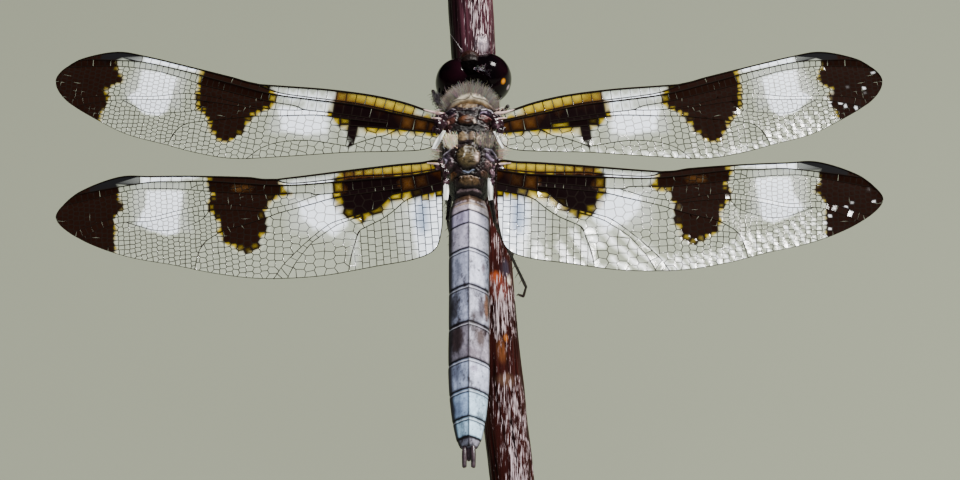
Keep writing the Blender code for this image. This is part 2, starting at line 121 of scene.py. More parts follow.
FLOOR_COLOUR = (0.135, 0.148, 0.105, 1.0)
FLOOR_SIZE = 12.0
floor_form = bmesh.new()
bmesh.ops.create_grid(floor_form, x_segments=1, y_segments=1, size=FLOOR_SIZE)
floor_mesh = bpy.data.meshes.new("floor")
floor_form.to_mesh(floor_mesh)
floor_form.free()
floor_mesh.materials.append(new_material("floor_paper", Roughness=0.85, Base_Color=FLOOR_COLOUR)[0])
floor = bpy.data.objects.new("floor", floor_mesh)
SCENE.collection.objects.link(floor)

# ---------------------------------------------------------------------------------------------
# Wings: four clear membranes stretched over a net of veins. Long veins run from the hinge to
# the edge, the fields between them are filled with cells, and pigment and a white wax lie on
# the cells in bands. Lengths along the span and across it are in millimetres from the hinge.
# ---------------------------------------------------------------------------------------------
FORE_OUTLINE = (
    (-0.2, 0.9), (2.3, 1.75), (5.0, 2.38), (8.7, 2.82), (14.0, 2.95), (21.4, 2.78),
    (25.0, 3.32), (30.0, 4.1), (35.0, 4.82), (38.5, 5.0), (42.3, 3.68), (44.4, 1.89),
    (44.8, 0.1), (43.0, -1.95), (39.1, -3.96), (35.5, -5.4), (31.2, -6.2), (26.6, -7.0),
    (22.5, -7.15), (16.8, -6.14), (10.0, -4.77), (5.0, -4.04), (1.2, -3.29), (-0.1, -1.9),
)
HIND_OUTLINE = (
    (-0.2, 0.9), (2.4, 1.36), (8.6, 1.36), (18.6, 1.18), (22.1, 1.77), (28.0, 2.6),
    (33.0, 3.14), (36.6, 3.46), (40.9, 2.25), (43.5, 0.4), (44.0, -1.4), (41.2, -4.1),
    (36.4, -6.7), (31.0, -8.5), (26.1, -10.25), (21.0, -11.5), (14.5, -11.95),
    (8.0, -11.4), (3.6, -10.96), (1.2, -9.9), (0.3, -7.4), (0.0, -4.5),
)
FORE_VEINS = {
    "subcosta": ((0.2, 0.5), (5, 1.1), (9, 1.62), (12, 1.78), (16, 1.87), (19, 2.05), (21.4, 2.7)),
    "radius": ((-0.1, 0.2), (5, 0.82), (10, 1.39), (15, 1.5), (20, 1.71), (25, 2.52), (30, 3.4),
        (35, 4.04), (38, 3.95), (41, 3.75), (42.6, 3.46)),
    "sector": ((6, -0.12), (9, 0.05), (13, 0.2), (15.7, 0.25), (17, 0.62), (20, 0.85), (25, 1.6),
        (28, 2.1), (30, 2.6), (33, 3.18), (35, 3.36), (38, 3.36), (41, 3.0), (43.7, 2.55)),
    "upper_pair": ((15.7, 0.25), (17, 0.02), (20, -0.15), (23, 0.15), (26, 0.6), (28, 0.75),
        (30, 0.7), (33, 0.02), (35, -0.25), (38, -0.5), (41, -1.0), (43.2, -1.75)),
    "lower_pair": ((20.6, -0.4), (24, -0.2), (28, 0.0), (30, -0.07), (33, -0.5), (35.1, -0.68),
        (37, -0.95), (40, -1.7), (42.2, -2.5)),
    "media": ((6, -0.5), (9, -0.48), (13, -0.35), (15, -0.46), (18.4, -0.96), (21.6, -1.4),
        (24, -1.95), (26.8, -2.6), (28.9, -3.2), (29.8, -4.0), (30.3, -5.0), (30.6, -6.3)),
    "supplement": ((27.2, -0.04), (28.0, -1.1), (30, -1.7), (33, -2.16), (34.3, -1.98), (35.7, -1.4),
        (36.9, -0.93)),
    "cubitus": ((-0.1, -0.88), (3.4, -0.96), (6.9, -1.05), (10.3, -1.15)),
    "plical": ((9.9, -3.95), (12.3, -3.73), (15, -3.68), (18, -4.3), (20, -5.4), (21.4, -7.1)),
    "anal": ((4.6, -1.0), (5.9, -2.04), (6.9, -2.4), (8.7, -3.3), (9.9, -3.95)),
}
HIND_VEINS = {
    "subcosta": ((0.2, 0.45), (4, 0.3), (8, 0.55), (10, 0.65), (13, 0.5), (17, 0.55), (18.6, 1.1)),
    "radius": ((-0.1, 0.2), (2.9, -0.1), (5, -0.1), (12, 0.04), (16, 0.16), (19, 0.45), (22, 0.95),
        (26.4, 1.77), (30, 2.1), (33, 2.4), (36.9, 2.2), (40, 1.95), (41.6, 1.8)),
    "sector": ((4.5, -0.95), (8, -1.05), (13.8, -1.2), (15, -0.86), (17, -0.68), (20, -0.5),
        (23, 0.0), (26.2, 0.6), (30, 1.33), (33, 1.71), (35.1, 1.8), (38, 1.45), (43.2, 0.7)),
    "upper_pair": ((13.8, -1.2), (15, -1.5), (16.8, -2.0), (20, -2.35), (22, -1.9), (24, -1.4),
        (26.7, -1.0), (30, -1.4), (33.4, -1.93), (36, -1.5), (38, -1.6), (42.6, -2.9)),
    "lower_pair": ((20.6, -2.7), (24, -2.1), (27, -1.8), (30, -2.0), (33.4, -2.46), (36.4, -2.25),
        (39, -2.8), (41.6, -3.8)),
    "media": ((4.5, -1.55), (8, -1.7), (12, -1.9), (15, -2.46), (18.6, -3.14), (20.2, -3.6),
        (23, -4.25), (25, -4.66), (27, -5.7), (27.9, -6.7), (28.4, -8.1), (28.7, -9.4)),
    "supplement": ((26.6, -1.85), (27.6, -2.9), (30, -3.65), (31.6, -3.8), (33, -3.6), (34.2, -3.14),
        (36.2, -2.25)),
    "cubitus": ((-0.1, -1.3), (3, -1.8), (5.6, -2.1)),
    "plical": ((5.6, -2.1), (6.5, -2.9), (7.5, -3.7), (9.3, -4.2), (11.8, -4.75), (13.1, -5.2),
        (15, -6.55), (16.8, -8.1), (18.6, -9.9), (19.8, -11.7)),
    "twin": ((9.3, -4.6), (11.8, -5.3), (13.1, -6.0), (15, -7.3), (16.1, -8.5), (17.3, -10.1),
        (18.2, -11.8)),
    "anal": ((-0.1, -2.3), (2.5, -2.7), (4.1, -3.2), (5.6, -4.4), (7, -5.3), (8.6, -6.0), (9.7, -6.6),
        (10.2, -8.0), (10.75, -9.6), (11.2, -11.8)),
}
# Each field: the veins along its front and rear edge with their reach, and its cells' length and
# height. A height of 9 gives a single row of cells and a negative one keeps the columns straight.
FORE_FIELDS = (
    ([("costa", -0.2, 21.4)], [("subcosta", -0.2, 21.4)], 1.17, 9.0),
    ([("subcosta", -0.2, 21.4)], [("radius", -0.2, 21.4)], 1.17, 9.0),
    ([("radius", -0.2, 6.0)], [("cubitus", -0.2, 6.0)], 1.6, 9.0),
    ([("media", 6.0, 10.3)], [("cubitus", 6.0, 10.3)], 2.1, 9.0),
    ([("costa", 21.4, 35.4)], [("radius", 21.4, 35.4)], 1.12, 9.0),
    ([("costa", 35.4, 40.2)], [("radius", 35.4, 40.2)], 9.0, 9.0),
    ([("costa", 40.2, 42.6)], [("radius", 40.2, 42.6)], 0.8, 9.0),
    ([("radius", 6.0, 42.6), ("costa", 42.6, 43.7)], [("sector", 6.0, 43.7)], 1.05, 1.0),
    ([("sector", 15.7, 43.7), ("costa", 43.7, 44.9)], [("upper_pair", 15.7, 43.2), ("margin", 43.2, 44.9)],
        0.98, 0.85),
    ([("upper_pair", 20.6, 43.2)], [("lower_pair", 20.6, 42.2), ("margin", 42.2, 43.2)], 0.95, 9.0),
    ([("lower_pair", 27.2, 36.9)], [("supplement", 27.2, 36.9)], 0.9, 0.9),
    ([("sector", 6.0, 15.7), ("upper_pair", 15.7, 20.6), ("lower_pair", 20.6, 27.2),
      ("supplement", 27.2, 36.9), ("lower_pair", 36.9, 42.2)],
     [("media", 6.0, 30.6), ("margin", 30.6, 42.2)], 0.92, 0.85),
    ([("media", 10.3, 30.6)], [("plical", 10.3, 21.4), ("margin", 21.4, 30.6)], 1.05, 0.95),
    ([("plical", 9.9, 21.4)], [("margin", 9.9, 21.4)], 0.95, 0.85),
    ([("cubitus", 4.6, 9.4)], [("anal", 4.6, 9.4)], 1.4, 1.2),
    ([("cubitus", -0.2, 4.6), ("anal", 4.6, 9.9)], [("margin", -0.2, 9.9)], 0.95, 0.9),
    ([("cubitus", 9.4, 10.3)], [("anal", 9.4, 9.9), ("plical", 9.9, 10.3)], 2.0, 1.7),
)
HIND_FIELDS = (
    ([("costa", -0.2, 18.6)], [("subcosta", -0.2, 18.6)], 1.12, 9.0),
    ([("subcosta", -0.2, 18.6)], [("radius", -0.2, 18.6)], 1.12, 9.0),
    ([("radius", -0.2, 4.5)], [("cubitus", -0.2, 4.5)], 1.6, 9.0),
    ([("media", 4.5, 5.6)], [("cubitus", 4.5, 5.6)], 2.0, 9.0),
    ([("costa", 18.6, 34.3)], [("radius", 18.6, 34.3)], 1.2, 9.0),
    ([("costa", 34.3, 40.1)], [("radius", 34.3, 40.1)], 9.0, 9.0),
    ([("costa", 40.1, 41.6)], [("radius", 40.1, 41.6)], 0.8, 9.0),
    ([("radius", 4.5, 41.6), ("costa", 41.6, 43.2)], [("sector", 4.5, 43.2)], 1.1, 0.95),
    ([("sector", 13.8, 43.2), ("costa", 43.2, 44.1)], [("upper_pair", 13.8, 42.6), ("margin", 42.6, 44.1)],
        1.0, 0.9),
    ([("upper_pair", 20.6, 42.6)], [("lower_pair", 20.6, 41.6), ("margin", 41.6, 42.6)], 0.95, 9.0),
    ([("lower_pair", 26.6, 36.2)], [("supplement", 26.6, 36.2)], 0.95, 0.9),
    ([("sector", 4.5, 13.8), ("upper_pair", 13.8, 20.6), ("lower_pair", 20.6, 26.6),
      ("supplement", 26.6, 36.2), ("lower_pair", 36.2, 41.6)],
     [("media", 4.5, 28.7), ("margin", 28.7, 41.6)], 0.98, 0.92),
    ([("media", 5.6, 28.7)], [("plical", 5.6, 19.8), ("margin", 19.8, 28.7)], 1.1, 1.05),
    ([("plical", 9.3, 19.8)], [("twin", 9.3, 18.2), ("margin", 18.2, 19.8)], 0.75, 9.0),
    ([("cubitus", -0.2, 5.6), ("plical", 5.6, 9.3), ("twin", 9.3, 18.2)],
     [("anal", -0.2, 11.2), ("margin", 11.2, 18.2)], 1.15, 1.1),
    ([("anal", -0.2, 11.2)], [("margin", -0.2, 11.2)], 0.82, -0.95),
)


def smooth_curve(knots, steps, closed=False):
    """Points on a smooth curve that passes through every knot."""
    knots = np.array(knots, float)
    count = len(knots)
    points = []
    for index in range(count if closed else count - 1):
        picks = [index + shift for shift in (-1, 0, 1, 2)]
        picks = [pick % count if closed else min(max(pick, 0), count - 1) for pick in picks]
        before, start, end, after = knots[picks]
        leave = (end - before) * 0.5
        arrive = (after - start) * 0.5
        for step in range(steps):
            t = step / steps
            point = start * (2 * t ** 3 - 3 * t ** 2 + 1) + end * (3 * t ** 2 - 2 * t ** 3)
            points.append(point + leave * (t ** 3 - 2 * t ** 2 + t) + arrive * (t ** 3 - t ** 2))
    if not closed:
        points.append(knots[-1])
    return np.array(points)


def clip(ring, point, outwards):
    """Keep the part of a polygon that lies behind a line."""
    kept = []
    for here, there in zip(ring, ring[1:] + ring[:1]):
        a = (here - point).dot(outwards)
        b = (there - point).dot(outwards)
        if a <= 0.0:
            kept.append(here)
        if (a <= 0.0) != (b <= 0.0):
            kept.append(here.lerp(there, a / (a - b)))
    return kept


SHORTEST_EDGE = 0.07


def drop_short_edges(ring):
    """Leave out corners that lie very close to the one before them."""
    kept = []
    for point in ring:
        if not kept or (point - kept[-1]).length >= SHORTEST_EDGE:
            kept.append(point)
    while len(kept) > 3 and (kept[0] - kept[-1]).length < SHORTEST_EDGE:
        kept.pop()
    return kept


def area_of(ring):
    """Signed area of a polygon."""
    return 0.5 * sum(here.x * there.y - there.x * here.y for here, there in zip(ring, ring[1:] + ring[:1]))


# Cells grow finer along the span from one place to another, sit staggered and are not quite even.
FINER_FROM = 13.0
FINER_OVER = 12.0
FINER_BY = 0.36
STAGGER = 0.22
WOBBLE = 0.12
SMALLEST_CELL = 0.02
# Only this many seeds round a cell can shape it, and this height of cells means a single row.
NEIGHBOURS = 30
SINGLE_ROW = 5.0
# Places along the edges of the fields are this far apart, and follow the outline near its ends.
EDGE_STEP = 0.5
STEEP_ENDS = 2.5
SAME_PLACE = 0.02


class WingPlan:
    """The flat plan of one kind of wing: its veins as curves and its fields cut into cells."""

    def __init__(self, kind, outline, veins, fields, seed):
        self.kind = kind
        loop = smooth_curve(outline, 8, closed=True)
        loop = np.roll(loop, -int(np.argmin(loop[:, 0])), axis=0)
        tip = int(np.argmax(loop[:, 0]))
        rear = np.vstack([loop[tip:], loop[:1]])[::-1]
        self.span = float(loop[tip, 0])
        self.lines = {"costa": loop[:tip + 1], "margin": rear}
        for name, line in self.lines.items():
            self.lines[name] = np.column_stack([np.maximum.accumulate(line[:, 0]), line[:, 1]])
        for name, knots in veins.items():
            self.lines[name] = smooth_curve(knots, 6)
        self.random = random.Random(seed)
        self.cells = []
        for front_edge, rear_edge, pitch, rows in fields:
            self.cut_field(front_edge, rear_edge, pitch, rows)

    def across(self, name, along):
        """How far forward a vein lies at places along the span."""
        return np.interp(along, self.lines[name][:, 0], self.lines[name][:, 1])

    def edge_points(self, pieces):
        """Places along a field's edge, shared with its neighbours so that they meet."""
        found = []
        for name, start, end in pieces:
            start = max(start, self.lines["costa"][0, 0])
            end = min(end, self.span)
            first = math.ceil(start / EDGE_STEP)
            marks = {start, end}.union(k * EDGE_STEP for k in range(first, math.floor(end / EDGE_STEP) + 1))
            if name in ("costa", "margin"):
                steep = [along for along in self.lines[name][:, 0] if start < along < end]
                marks.update(along for along in steep if not STEEP_ENDS <= along <= self.span - STEEP_ENDS)
            for along in sorted(marks):
                low = self.across("margin", along)
                high = self.across("costa", along)
                point = (along, float(min(max(self.across(name, along), low), high)))
                if not found or math.dist(found[-1], point) > SAME_PLACE:
                    found.append(point)
        return found

    def cut_field(self, front_edge, rear_edge, pitch, rows):
        """Fill a field with cells in staggered columns, each cell nearest to its own seed."""
        front = self.edge_points(front_edge)
        rear = self.edge_points(rear_edge)
        ring = [Vector(point) for point in front + rear[::-1]]
        front = np.array(front)
        rear = np.array(rear)
        start = front[0, 0]
        end = front[-1, 0]
        graded = FINER_BY * (rows < SINGLE_ROW or pitch < 1.0)
        borders = [start]
        while borders[-1] < end - 0.3 * pitch:
            finer = 1.0 - graded * min(max((borders[-1] - FINER_FROM) / FINER_OVER, 0.0), 1.0)
            borders.append(borders[-1] + pitch * finer)
        stretch = (end - start) / max(borders[-1] - start, 0.1)
        borders = [start + (border - start) * stretch for border in borders]
        straight = rows < 0.0
        rows = abs(rows)
        seeds = []
        for column, (left, right) in enumerate(zip(borders, borders[1:])):
            along = (left + right) / 2.0
            wide = right - left
            top = np.interp(along, front[:, 0], front[:, 1])
            tall = top - np.interp(along, rear[:, 0], rear[:, 1])
            count = max(1, round(tall * pitch / (rows * wide))) if rows < SINGLE_ROW else 1
            shift = 0.0 if count == 1 else (STAGGER if column % 2 else -STAGGER)
            wobble = 0.0 if count == 1 else WOBBLE
            for row in range(count):
                aside = self.random.uniform(-wobble, wobble) * wide * (not straight)
                down = (row + 0.5 + shift) / count * tall
                nudge = self.random.uniform(-wobble, wobble) * tall / count
                seeds.append((Vector((along + aside, top - down + nudge)), column))
        for seed, column in seeds:
            cell = ring
            others = [other for other, place in seeds if place == column or not straight]
            others.sort(key=lambda other: (other - seed).length_squared)
            for other in others[1:NEIGHBOURS + 1]:
                cell = clip(cell, (seed + other) / 2.0, other - seed)
            if straight:
                cell = clip(cell, Vector((borders[column], 0.0)), Vector((-1.0, 0.0)))
                cell = clip(cell, Vector((borders[column + 1], 0.0)), Vector((1.0, 0.0)))
            cell = drop_short_edges(cell)
            if len(cell) >= 3 and abs(area_of(cell)) > SMALLEST_CELL:
                self.cells.append(cell)


fore_plan = WingPlan("fore", FORE_OUTLINE, FORE_VEINS, FORE_FIELDS, 11)
hind_plan = WingPlan("hind", HIND_OUTLINE, HIND_VEINS, HIND_FIELDS, 23)


def add_tubes(form, paths, sides=6, material=0):
    """Add round tubes to a form. Each path is a list of places with a radius; returns the new vertices."""
    curve = bpy.data.curves.new("tubes", "CURVE")
    curve.dimensions = "3D"
    curve.bevel_depth = 1.0
    curve.bevel_resolution = (sides - 4) // 2
    curve.use_fill_caps = True
    for path in paths:
        spline = curve.splines.new("POLY")
        spline.points.add(len(path) - 1)
        for knot, (place, radius) in zip(spline.points, path):
            knot.co = (*place, 1.0)
            knot.radius = radius
    holder = bpy.data.objects.new("tubes", curve)
    mesh = bpy.data.meshes.new_from_object(holder)
    old_verts = len(form.verts)
    old_faces = len(form.faces)
    form.from_mesh(mesh)
    bpy.data.objects.remove(holder)
    bpy.data.curves.remove(curve)
    bpy.data.meshes.remove(mesh)
    form.verts.ensure_lookup_table()
    form.faces.ensure_lookup_table()
    for face in form.faces[old_faces:]:
        face.material_index = material
    return form.verts[old_verts:]


def depth_inside(points, polygon):
    """How deep points lie inside a polygon, in millimetres; negative outside."""
    corners = np.array(polygon)
    nearest = np.full(len(points), 1e9)
    crossings = np.zeros(len(points), bool)
    for start, end in zip(corners, np.roll(corners, -1, axis=0)):
        edge = end - start
        along = np.clip(((points - start) @ edge) / (edge @ edge), 0.0, 1.0)
        nearest = np.minimum(nearest, np.linalg.norm(points - start - along[:, None] * edge, axis=1))
        if start[1] != end[1]:
            spans = (start[1] > points[:, 1]) != (end[1] > points[:, 1])
            meets = start[0] + (points[:, 1] - start[1]) / (end[1] - start[1]) * edge[0]
            crossings ^= spans & (points[:, 0] < meets)
    return np.where(crossings, nearest, -nearest)


def ease(values, low, high):
    """Smooth rise from 0 at low to 1 at high."""
    t = np.clip((values - low) / (high - low), 0.0, 1.0)
    return t * t * (3.0 - 2.0 * t)


def mixed(ground, colour, share):
    """A colour laid over a ground by its share."""
    return ground * (1.0 - share) + np.array(colour) * share


def ripple(x, y, z):
    """Smooth noise at a place, about -1 to 1."""
    return noise.noise(Vector((x, y, z)))


def ripples(points, across, along, seed):
    """Smooth noise at many points of a wing, stretched along its two directions."""
    return np.array([ripple(x * across, y * along, seed) for x, y in points])


# Colours of the membrane and how much each hides what is behind it.
CLEAR = ((0.62, 0.66, 0.55), 0.13)
PIGMENTS = {
    "brown": ((0.0065, 0.0022, 0.0012), 0.995),
    "amber": ((0.36, 0.26, 0.004), 0.87),
    "dark": ((0.0028, 0.001, 0.0012), 0.998),
    "honey": ((0.055, 0.018, 0.001), 0.97),
    "scallop": ((0.045, 0.013, 0.001), 0.97),
    "white": ((0.80, 0.85, 0.93), 0.95),
    # Haze is a milky film on the membrane, and in one hindwing patch a painted highlight.
    "haze_and_glint": ((0.80, 0.84, 0.82), 0.24),
    "blue": ((0.33, 0.42, 0.62), 0.6),
    "stigma": ((0.005, 0.005, 0.0055), 0.99),
    "clear": CLEAR,
}
# Each patch: pigment, softness of its border, width of its amber fringe, and its outline.
FORE_PATCHES = (
    ("haze_and_glint", 0.5, 0, ((12.0, 2.2), (21.0, 2.3), (21.0, 3.2), (12.0, 3.2))),
    ("haze_and_glint", 0.6, 0, ((12.4, -3.6), (19.4, -3.2), (19.4, 0.6), (17.0, 1.6), (12.4, 1.5))),
    ("white", 0.22, 0, ((12.9, -2.5), (15.2, -2.9), (18.0, -2.7), (18.4, -0.6), (18.1, 0.3), (12.9, 0.35))),
    ("white", 0.08, 0, ((12.5, 1.35), (20.0, 1.6), (20.0, 2.1), (12.5, 1.92))),
    ("white", 0.1, 0, ((13.0, -0.45), (15.7, -0.6), (18.4, -1.1), (18.6, 0.05), (16.0, 0.3), (13.0, 0.3))),
    ("amber", 0.25, 0, ((-0.2, 0.5), (4.0, 0.9), (8.0, 1.6), (12.4, 2.2), (12.4, 3.2), (8.7, 3.2),
        (5.0, 2.7), (2.0, 1.9), (-0.2, 1.2))),
    ("clear", 0.3, 0, ((0.3, 0.9), (2.9, 1.1), (2.9, 2.1), (0.3, 1.4))),
    ("amber", 0.3, 0, ((3.8, -1.8), (8.8, -2.1), (8.8, -0.9), (3.8, -0.7))),
    ("dark", 0.2, 0.45, ((-0.4, 0.55), (5.0, 1.12), (9.0, 2.0), (11.5, 2.3), (12.2, 2.2), (12.5, 1.3),
        (12.7, 0.1), (12.4, -0.5), (11.9, -0.7), (11.5, -1.3), (10.6, -0.9), (10.0, -1.2), (9.3, -1.4),
        (8.0, -1.1), (5.0, -1.1), (-0.4, -1.1))),
    ("scallop", 0.15, 0, ((1.5, 0.55), (5.0, 1.05), (9.0, 1.6), (12.3, 1.75), (12.3, 2.75), (9.0, 2.5),
        (5.0, 1.8), (1.5, 0.95))),
    ("honey", 0.2, 0, ((0.5, -0.05), (4.3, 0.0), (4.3, -0.4), (0.5, -0.4))),
    ("dark", 0.12, 0, ((9.2, -1.0), (10.6, -1.0), (10.45, -2.6), (10.0, -4.4), (9.6, -4.4), (9.25, -2.6))),
    ("haze_and_glint", 0.7, 0, ((30.0, -1.4), (36.4, -1.2), (37.0, 0.5), (36.0, 3.2), (36.0, 5.2), (29.6, 4.3),
        (30.0, 1.0))),
    ("white", 0.16, 0, ((31.1, 2.6), (33.0, 3.1), (35.2, 3.2), (35.2, 0.64), (36.3, -0.43), (35.7, -1.1),
        (34.1, -2.4), (32.5, -2.5), (31.5, -1.8), (31.2, 0.6))),
    ("brown", 0.22, 0.3, ((21.4, 3.6), (20.2, 2.6), (19.6, 1.7), (19.3, 0.46), (20.2, -0.16),
        (21.3, -1.14), (21.8, -2.0), (22.3, -3.3), (23.2, -4.4), (24.1, -4.95), (24.9, -4.9), (25.6, -4.0),
        (26.3, -2.9), (27.0, -1.86), (27.9, -0.96), (28.3, 0.3), (28.3, 4.6))),
    ("brown", 0.22, 0.12, ((38.3, 4.0), (38.1, 2.96), (37.2, 1.6), (38.2, 0.8), (39.1, 0.1), (38.4, -0.6),
        (38.5, -1.5), (38.8, -2.6), (39.25, -5.0), (47.0, -5.0), (47.0, 7.0), (38.3, 7.0))),
    ("white", 0.12, 0, ((28.8, 3.5), (35.3, 4.1), (35.3, 5.4), (28.8, 5.2))),
    ("stigma", 0.1, 0, ((35.4, 4.05), (38.0, 3.97), (40.2, 3.82), (40.2, 5.3), (35.4, 5.3))),
)
HIND_PATCHES = (
    ("haze_and_glint", 0.5, 0, ((11.0, 0.5), (18.3, 0.5), (18.3, 1.6), (11.0, 1.6))),
    ("haze_and_glint", 1.0, 0, ((11.5, -7.6), (17.6, -5.6), (17.9, -0.7), (12.0, -0.6), (10.4, -4.2))),
    ("white", 0.22, 0, ((12.0, -1.3), (16.3, -1.9), (16.3, -4.0), (14.5, -5.6), (12.3, -6.7), (10.8, -5.0),
        (10.9, -3.4), (12.0, -2.6))),
    ("white", 0.15, 0, ((11.8, 0.05), (18.2, 0.3), (18.2, 0.6), (11.8, 0.52))),
    ("white", 0.15, 0, ((11.9, -1.9), (14.2, -2.2), (14.2, -1.3), (11.9, -1.2))),
    ("haze_and_glint", 0.9, 0, ((-1.0, -3.0), (5.0, -3.4), (6.0, -6.0), (4.4, -11.4), (-1.0, -11.4))),
    ("white", 0.4, 0, ((-1.0, -2.6), (2.8, -2.7), (3.8, -4.2), (3.5, -8.0), (3.0, -11.2), (-1.0, -11.2))),
    ("blue", 0.6, 0, ((1.6, -3.4), (2.9, -3.6), (3.2, -6.0), (2.6, -8.0), (1.8, -7.0))),
    # This pale streak down the cells is a painted highlight on a fold of the skin.
    ("haze_and_glint", 0.1, 0, ((9.7, -6.6), (11.0, -6.6), (10.7, -11.5), (10.1, -11.5))),
    ("amber", 0.25, 0, ((-0.2, 0.3), (10.6, 0.5), (10.6, 1.7), (-0.2, 1.7))),
    ("amber", 0.25, 0, ((2.8, -2.1), (6.0, -2.1), (10.2, -4.7), (7.8, -4.7), (5.4, -3.4), (2.8, -3.1))),
    ("dark", 0.2, 0.45, ((-0.6, 0.5), (3.0, 0.32), (6.0, 0.55), (8.0, 0.75), (10.0, 0.95), (11.6, 0.75),
        (11.9, 0.25), (11.9, -2.6), (11.2, -3.2), (10.6, -4.5), (9.0, -5.1), (7.4, -4.4), (6.4, -2.9),
        (5.2, -2.45), (3.4, -2.4), (2.4, -2.9), (-0.6, -2.9))),
    ("scallop", 0.15, 0, ((-0.2, 0.35), (4.0, 0.2), (8.0, 0.5), (11.2, 0.6), (11.2, 1.4), (8.0, 1.15),
        (4.0, 0.8), (-0.2, 0.75))),
    ("honey", 0.2, 0, ((1.5, -0.9), (4.6, -0.9), (4.6, -1.35), (1.5, -1.35))),
    ("honey", 0.3, 0, ((11.0, -0.5), (11.8, -0.5), (11.8, -1.1), (11.0, -1.1))),
    ("haze_and_glint", 0.8, 0, ((28.8, -4.4), (35.6, -2.8), (35.2, 1.7), (35.0, 3.9), (28.6, 3.4), (29.2, 0.9))),
    ("white", 0.16, 0, ((29.4, 0.96), (29.7, -0.46), (30.05, -2.25), (30.3, -4.2), (31.6, -4.5),
        (33.2, -3.7), (35.1, -2.6), (34.4, -1.5), (33.9, -0.46), (33.5, 1.5))),
    ("brown", 0.22, 0.3, ((18.6, 2.4), (18.6, 1.14), (18.2, 0.16), (17.3, -0.7), (19.5, -1.18),
        (20.0, -2.07), (20.4, -3.1), (20.2, -4.6), (20.7, -5.6), (21.25, -6.9), (21.8, -7.6),
        (22.7, -7.75), (23.6, -7.1), (25.0, -6.1), (25.5, -4.9), (25.5, -3.1), (26.3, -2.07), (26.6, -0.8),
        (25.9, 0.25), (26.4, 0.8), (26.7, 3.4))),
    ("honey", 0.3, 0, ((21.8, 0.3), (23.6, 0.3), (23.6, 0.7), (21.8, 0.7))),
    ("brown", 0.22, 0.12, ((36.9, 2.3), (36.75, 0.8), (36.3, -0.1), (37.3, -1.2), (37.7, -1.9), (37.5, -3.1),
        (37.6, -4.4), (37.7, -7.5), (46.0, -7.5), (46.0, 5.0), (36.9, 5.0))),
    ("white", 0.12, 0, ((27.2, 2.45), (34.2, 2.35), (34.2, 4.0), (27.2, 4.2))),
    ("stigma", 0.1, 0, ((34.3, 2.35), (37.0, 2.2), (40.1, 1.95), (40.1, 4.0), (34.3, 4.0))),
)
# By how much each role moves into a fringed patch and into the scalloped band of the front cells.
FRINGE_STEPS = np.array([0.42, 0.42, 0.36, -0.2]) / 0.35
SCALLOP_STEPS = np.array([0.2, 0.2, 0.2, -0.3])
FRINGE_SOFTNESS = 0.18
RAGGED_EDGE = 0.3
# How far each long vein stands above or below the wing's middle, which pleats the wing.
FORE_RELIEF = {"costa": 0.12, "subcosta": -0.16, "radius": 0.24, "sector": -0.12, "upper_pair": -0.05,
        "lower_pair": 0.14, "media": 0.16, "supplement": -0.1, "cubitus": -0.18, "plical": -0.12,
        "anal": 0.12, "margin": 0.0}
HIND_RELIEF = dict(FORE_RELIEF, twin=0.1)
LONG_VEINS = {"costa": 0.15, "subcosta": 0.1, "radius": 0.125, "sector": 0.075, "upper_pair": 0.06,
        "lower_pair": 0.06, "media": 0.075, "supplement": 0.055, "cubitus": 0.09, "plical": 0.06,
        "twin": 0.06, "anal": 0.065, "margin": 0.06}
VEIN_HALF_WIDTH = 0.042
VEIN_FLANK = 0.02
VEIN_CREST = 0.016
VEIN_COLOUR = (0.006, 0.004, 0.003)
NEARLY_BLACK = 0.012
SKIN_THICKNESS = 0.02
# The rear edge curls up a little and is pleated: how far, how wide the pleats are and how high.
REAR_CURL = {"fore": 0.012, "hind": 0.0075}
PLEAT_START = {"fore": (1.6, 4.2), "hind": (4.0, 7.5)}
PLEAT_WIDTH = {"fore": 0.95, "hind": 1.05}
PLEAT_HEIGHT = 0.05
# The middles of cells stand off the skin by up to this much, more of them near the rear and tip.
WRINKLE = 0.13
CALM_WRINKLE = 0.012
TIP_WRINKLES = (34.0, 40.0)
CORNERS_PER_MM = 40
WING_DROOP = math.radians(4.0)
WING_ROOT_X = 3.4
WING_ROOT_Z = 3.9


def wing_relief(plan, relief, points):
    """Height of the pleated wing at points of its plan: each vein pulls what lies near it."""
    total = np.zeros(len(points))
    weights = np.full(len(points), 0.12)
    x, y = points.T
    for name, rise in relief.items():
        line = plan.lines[name]
        beyond = np.maximum(line[0, 0] - x, 0.0) + np.maximum(x - line[-1, 0], 0.0)
        weight = 1.0 / ((plan.across(name, x) - y) ** 2 + beyond ** 2 + 0.06)
        total += weight * rise
        weights += weight
    return total / weights + REAR_CURL[plan.kind] * np.minimum(y, 0.0) ** 2


def paint_wing(points, roles, patches, seed):
    """Colour and cover of points of a wing. Roles run from 0, on a vein, to 3, in a cell's middle."""
    ragged = ripples(points, 0.9, 0.9, seed) * RAGGED_EDGE
    colour = np.tile(np.array(CLEAR[0]), (len(points), 1))
    cover = np.full(len(points), CLEAR[1])
    for pigment, soft, fringe, outline in patches:
        depth = depth_inside(points, outline) + ragged * (1.0 if fringe else 0.4)
        layers = [(pigment, None)]
        if fringe:
            layers.insert(0, ("amber", ease(depth + fringe, -FRINGE_SOFTNESS, FRINGE_SOFTNESS)))
            depth = depth + FRINGE_STEPS[roles] * fringe
        if pigment == "scallop":
            depth = depth + SCALLOP_STEPS[roles]
        for name, share in layers:
            share = ease(depth, -soft, soft) if share is None else share
            colour = mixed(colour, PIGMENTS[name][0], share[:, None])
            cover = mixed(cover, PIGMENTS[name][1], share)
    return colour, cover
